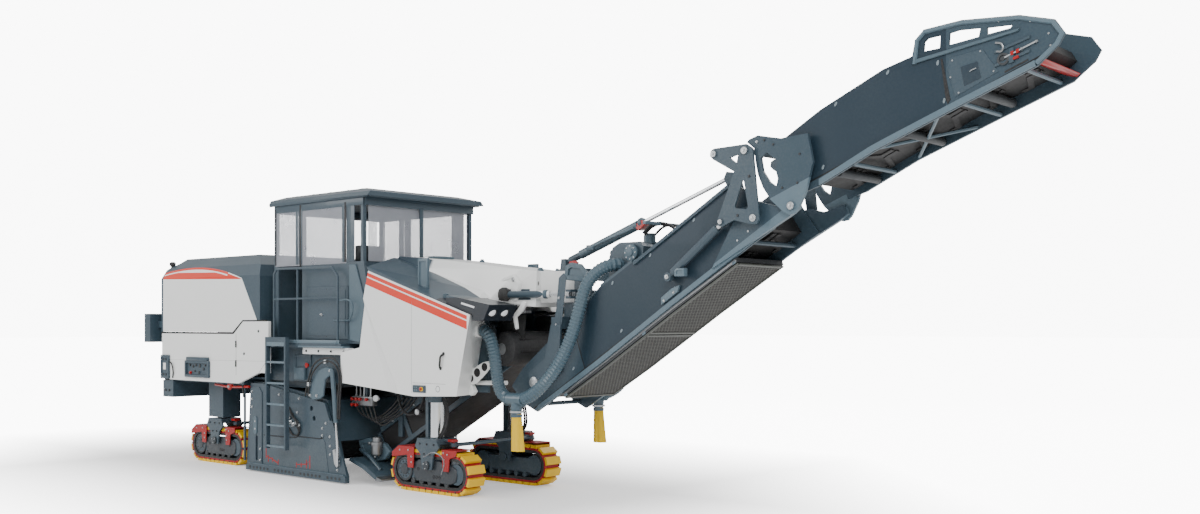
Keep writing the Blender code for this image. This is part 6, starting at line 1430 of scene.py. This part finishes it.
def guard_dress():
    """Perforated sheet over the belt guard's cut panels, cab header and window posts."""
    chord = ((1.75, 1.22), (2.88, 1.88), (4.05, 2.61), (5.30, 3.36))

    def under(x, drop):
        for (x0, z0), (x1, z1) in zip(chord, chord[1:]):
            if x <= x1:
                return (x + drop * 0.52, z0 + (z1 - z0) * (x - x0) / (x1 - x0) - drop)

    sheets = []
    for xs in ((2.26, 2.60, 2.88, 3.20, 3.59), (3.64, 4.05, 4.50, 4.97)):
        outline = [under(x, 0.060) for x in xs] + [under(x, 0.067) for x in xs[::-1]]
        sheets.append(plate(outline, -0.455, 0.455, 0.0))
    settle(joined(sheets), "guard_sheet", guard_mesh, "lower_section", 20.0)
    frames = [plate([under(x, 0.056), under(x + 0.035, 0.056), under(x + 0.035, 0.074), under(x, 0.074)],
                    -0.48, 0.48, 0.002) for x in (2.22, 3.575, 3.63, 4.965)]
    for side in (RIGHT, LEFT):
        xs = (2.22, 2.88, 3.60, 4.05, 5.0)
        frames.append(plate([under(x, 0.056) for x in xs] + [under(x, 0.074) for x in xs[::-1]],
                            side * 0.45, side * 0.485, 0.002))
    settle(joined(frames), "guard_frame", guard_edge, "lower_section")
    header = [block((-3.60, s * 1.084, 4.175), (-1.28, s * 1.094, 4.30), 0.004) for s in (RIGHT, LEFT)]
    header += [block((-1.268, -1.08, 4.175), (-1.256, 1.08, 4.30), 0.004),
               block((-3.636, -1.06, 4.175), (-3.624, 1.06, 4.30), 0.004)]
    settle(joined(header), "roof_header", slate, "machine")
    posts = [block((-1.268, -0.035, 3.34), (-1.252, 0.035, 4.20), 0.005)]
    for side in (RIGHT, LEFT):
        posts.append(block((-2.93, side * 1.084, 3.34), (-2.84, side * 1.096, 4.20), 0.005))
        posts.append(block((-1.80, side * 1.084, 3.34), (-1.71, side * 1.096, 4.20), 0.005))
        posts.append(block((-3.01, side * 1.084, 3.34), (-2.95, side * 1.092, 4.20), 0.004))
        posts.append(block((-1.69, side * 1.084, 3.34), (-1.50, side * 1.092, 4.20), 0.004))
    settle(joined(posts), "window_posts", slate, "machine")
    # the side console and its stand in the cab take the darkened slate: painted shade
    console = block((-1.80, -0.86, 3.36), (-1.62, -0.46, 3.60), 0.02)
    recess(console, (-1, 0, 0), 0.03, 0.01)
    settle(console, "side_console", slate_in_painted_shade, "machine")
    stand = block((-1.76, -0.72, 3.00), (-1.66, -0.60, 3.38), 0.01)
    settle(stand, "side_console_stand", slate_in_painted_shade, "machine")


def stage_and_light():
    """Pale floor and sky that look brighter away from the machine, and three soft lamps."""
    bpy.ops.object.select_all(action="DESELECT")
    bpy.ops.mesh.primitive_plane_add(size=400.0, location=(0.0, 0.0, 0.0))
    floor = bpy.context.object
    floor.name = "studio_floor"
    made, whole, (x, y, _) = painter("pale_floor", Roughness=0.75, Emission_Strength=1.0)
    made.node_tree.nodes["Principled BSDF"].inputs["Base Color"].default_value = (0.88, 0.88, 0.88, 1.0)
    away = (((x + 3.6).size() - 5.0).math("MAXIMUM", 0.0) + (y.size() - 1.3).math("MAXIMUM", 0.0)) * 0.16
    seen = whole.node("ShaderNodeLightPath")
    glow = (away.math("MINIMUM", 1.0).math("POWER", 1.5) * 9.0 + 0.35) * seen
    feed(made, Emission_Color=whole.node("ShaderNodeCombineXYZ", {0: glow, 1: glow, 2: glow}))
    floor.data.materials.append(made)
    world = bpy.data.worlds.new("studio")
    bpy.context.scene.world = world
    world.use_nodes = True
    tree = world.node_tree
    seen = Shade(tree, tree.nodes.new("ShaderNodeLightPath").outputs[0])
    tree.nodes["Background"].inputs["Color"].default_value = (1.0, 1.0, 1.0, 1.0)
    way = Shade(tree, tree.nodes.new("ShaderNodeTexCoord").outputs["Generated"])
    up = Shade(tree, way.node("ShaderNodeSeparateXYZ", {0: way}).socket.node.outputs[2])
    sky = (up * 0.9 + 0.42).math("MAXIMUM", 0.30).math("MINIMUM", 1.15)
    tree.links.new((seen * 9.0 + sky).socket, tree.nodes["Background"].inputs["Strength"])
    for name, place, size, power in (
        ("key", (16.0, -14.0, 14.0), 10.0, 2600.0),
        ("side", (-12.0, -14.0, 9.0), 9.0, 1300.0),
        ("back", (0.0, 16.0, 13.0), 12.0, 1500.0),
    ):
        bpy.ops.object.light_add(type="AREA", location=place)
        lamp = bpy.context.object
        lamp.name = name
        lamp.data.size = size
        lamp.data.energy = power
        lamp.rotation_euler = (Vector((0.0, 0.0, 1.5)) - Vector(place)).to_track_quat("-Z", "Y").to_euler()


def camera():
    bpy.ops.object.camera_add(location=(13.25 + FRONT_AXLE_X, -12.13, 2.41),
                              rotation=(math.radians(90.0), 0.0, math.radians(41.71)))
    eye = bpy.context.object
    eye.data.sensor_width = 36.0
    eye.data.lens = 36.3
    eye.data.shift_y = 66.7 / IMAGE_WIDTH
    bpy.context.scene.camera = eye


for dress in (conveyor_dress, fan_dress, hose_dress, cab_dress, hood_dress, front_dress, mast_dress,
              crawler_dress, milling_dress, loader_dress, guard_dress):
    dress()
stage_and_light()
camera()
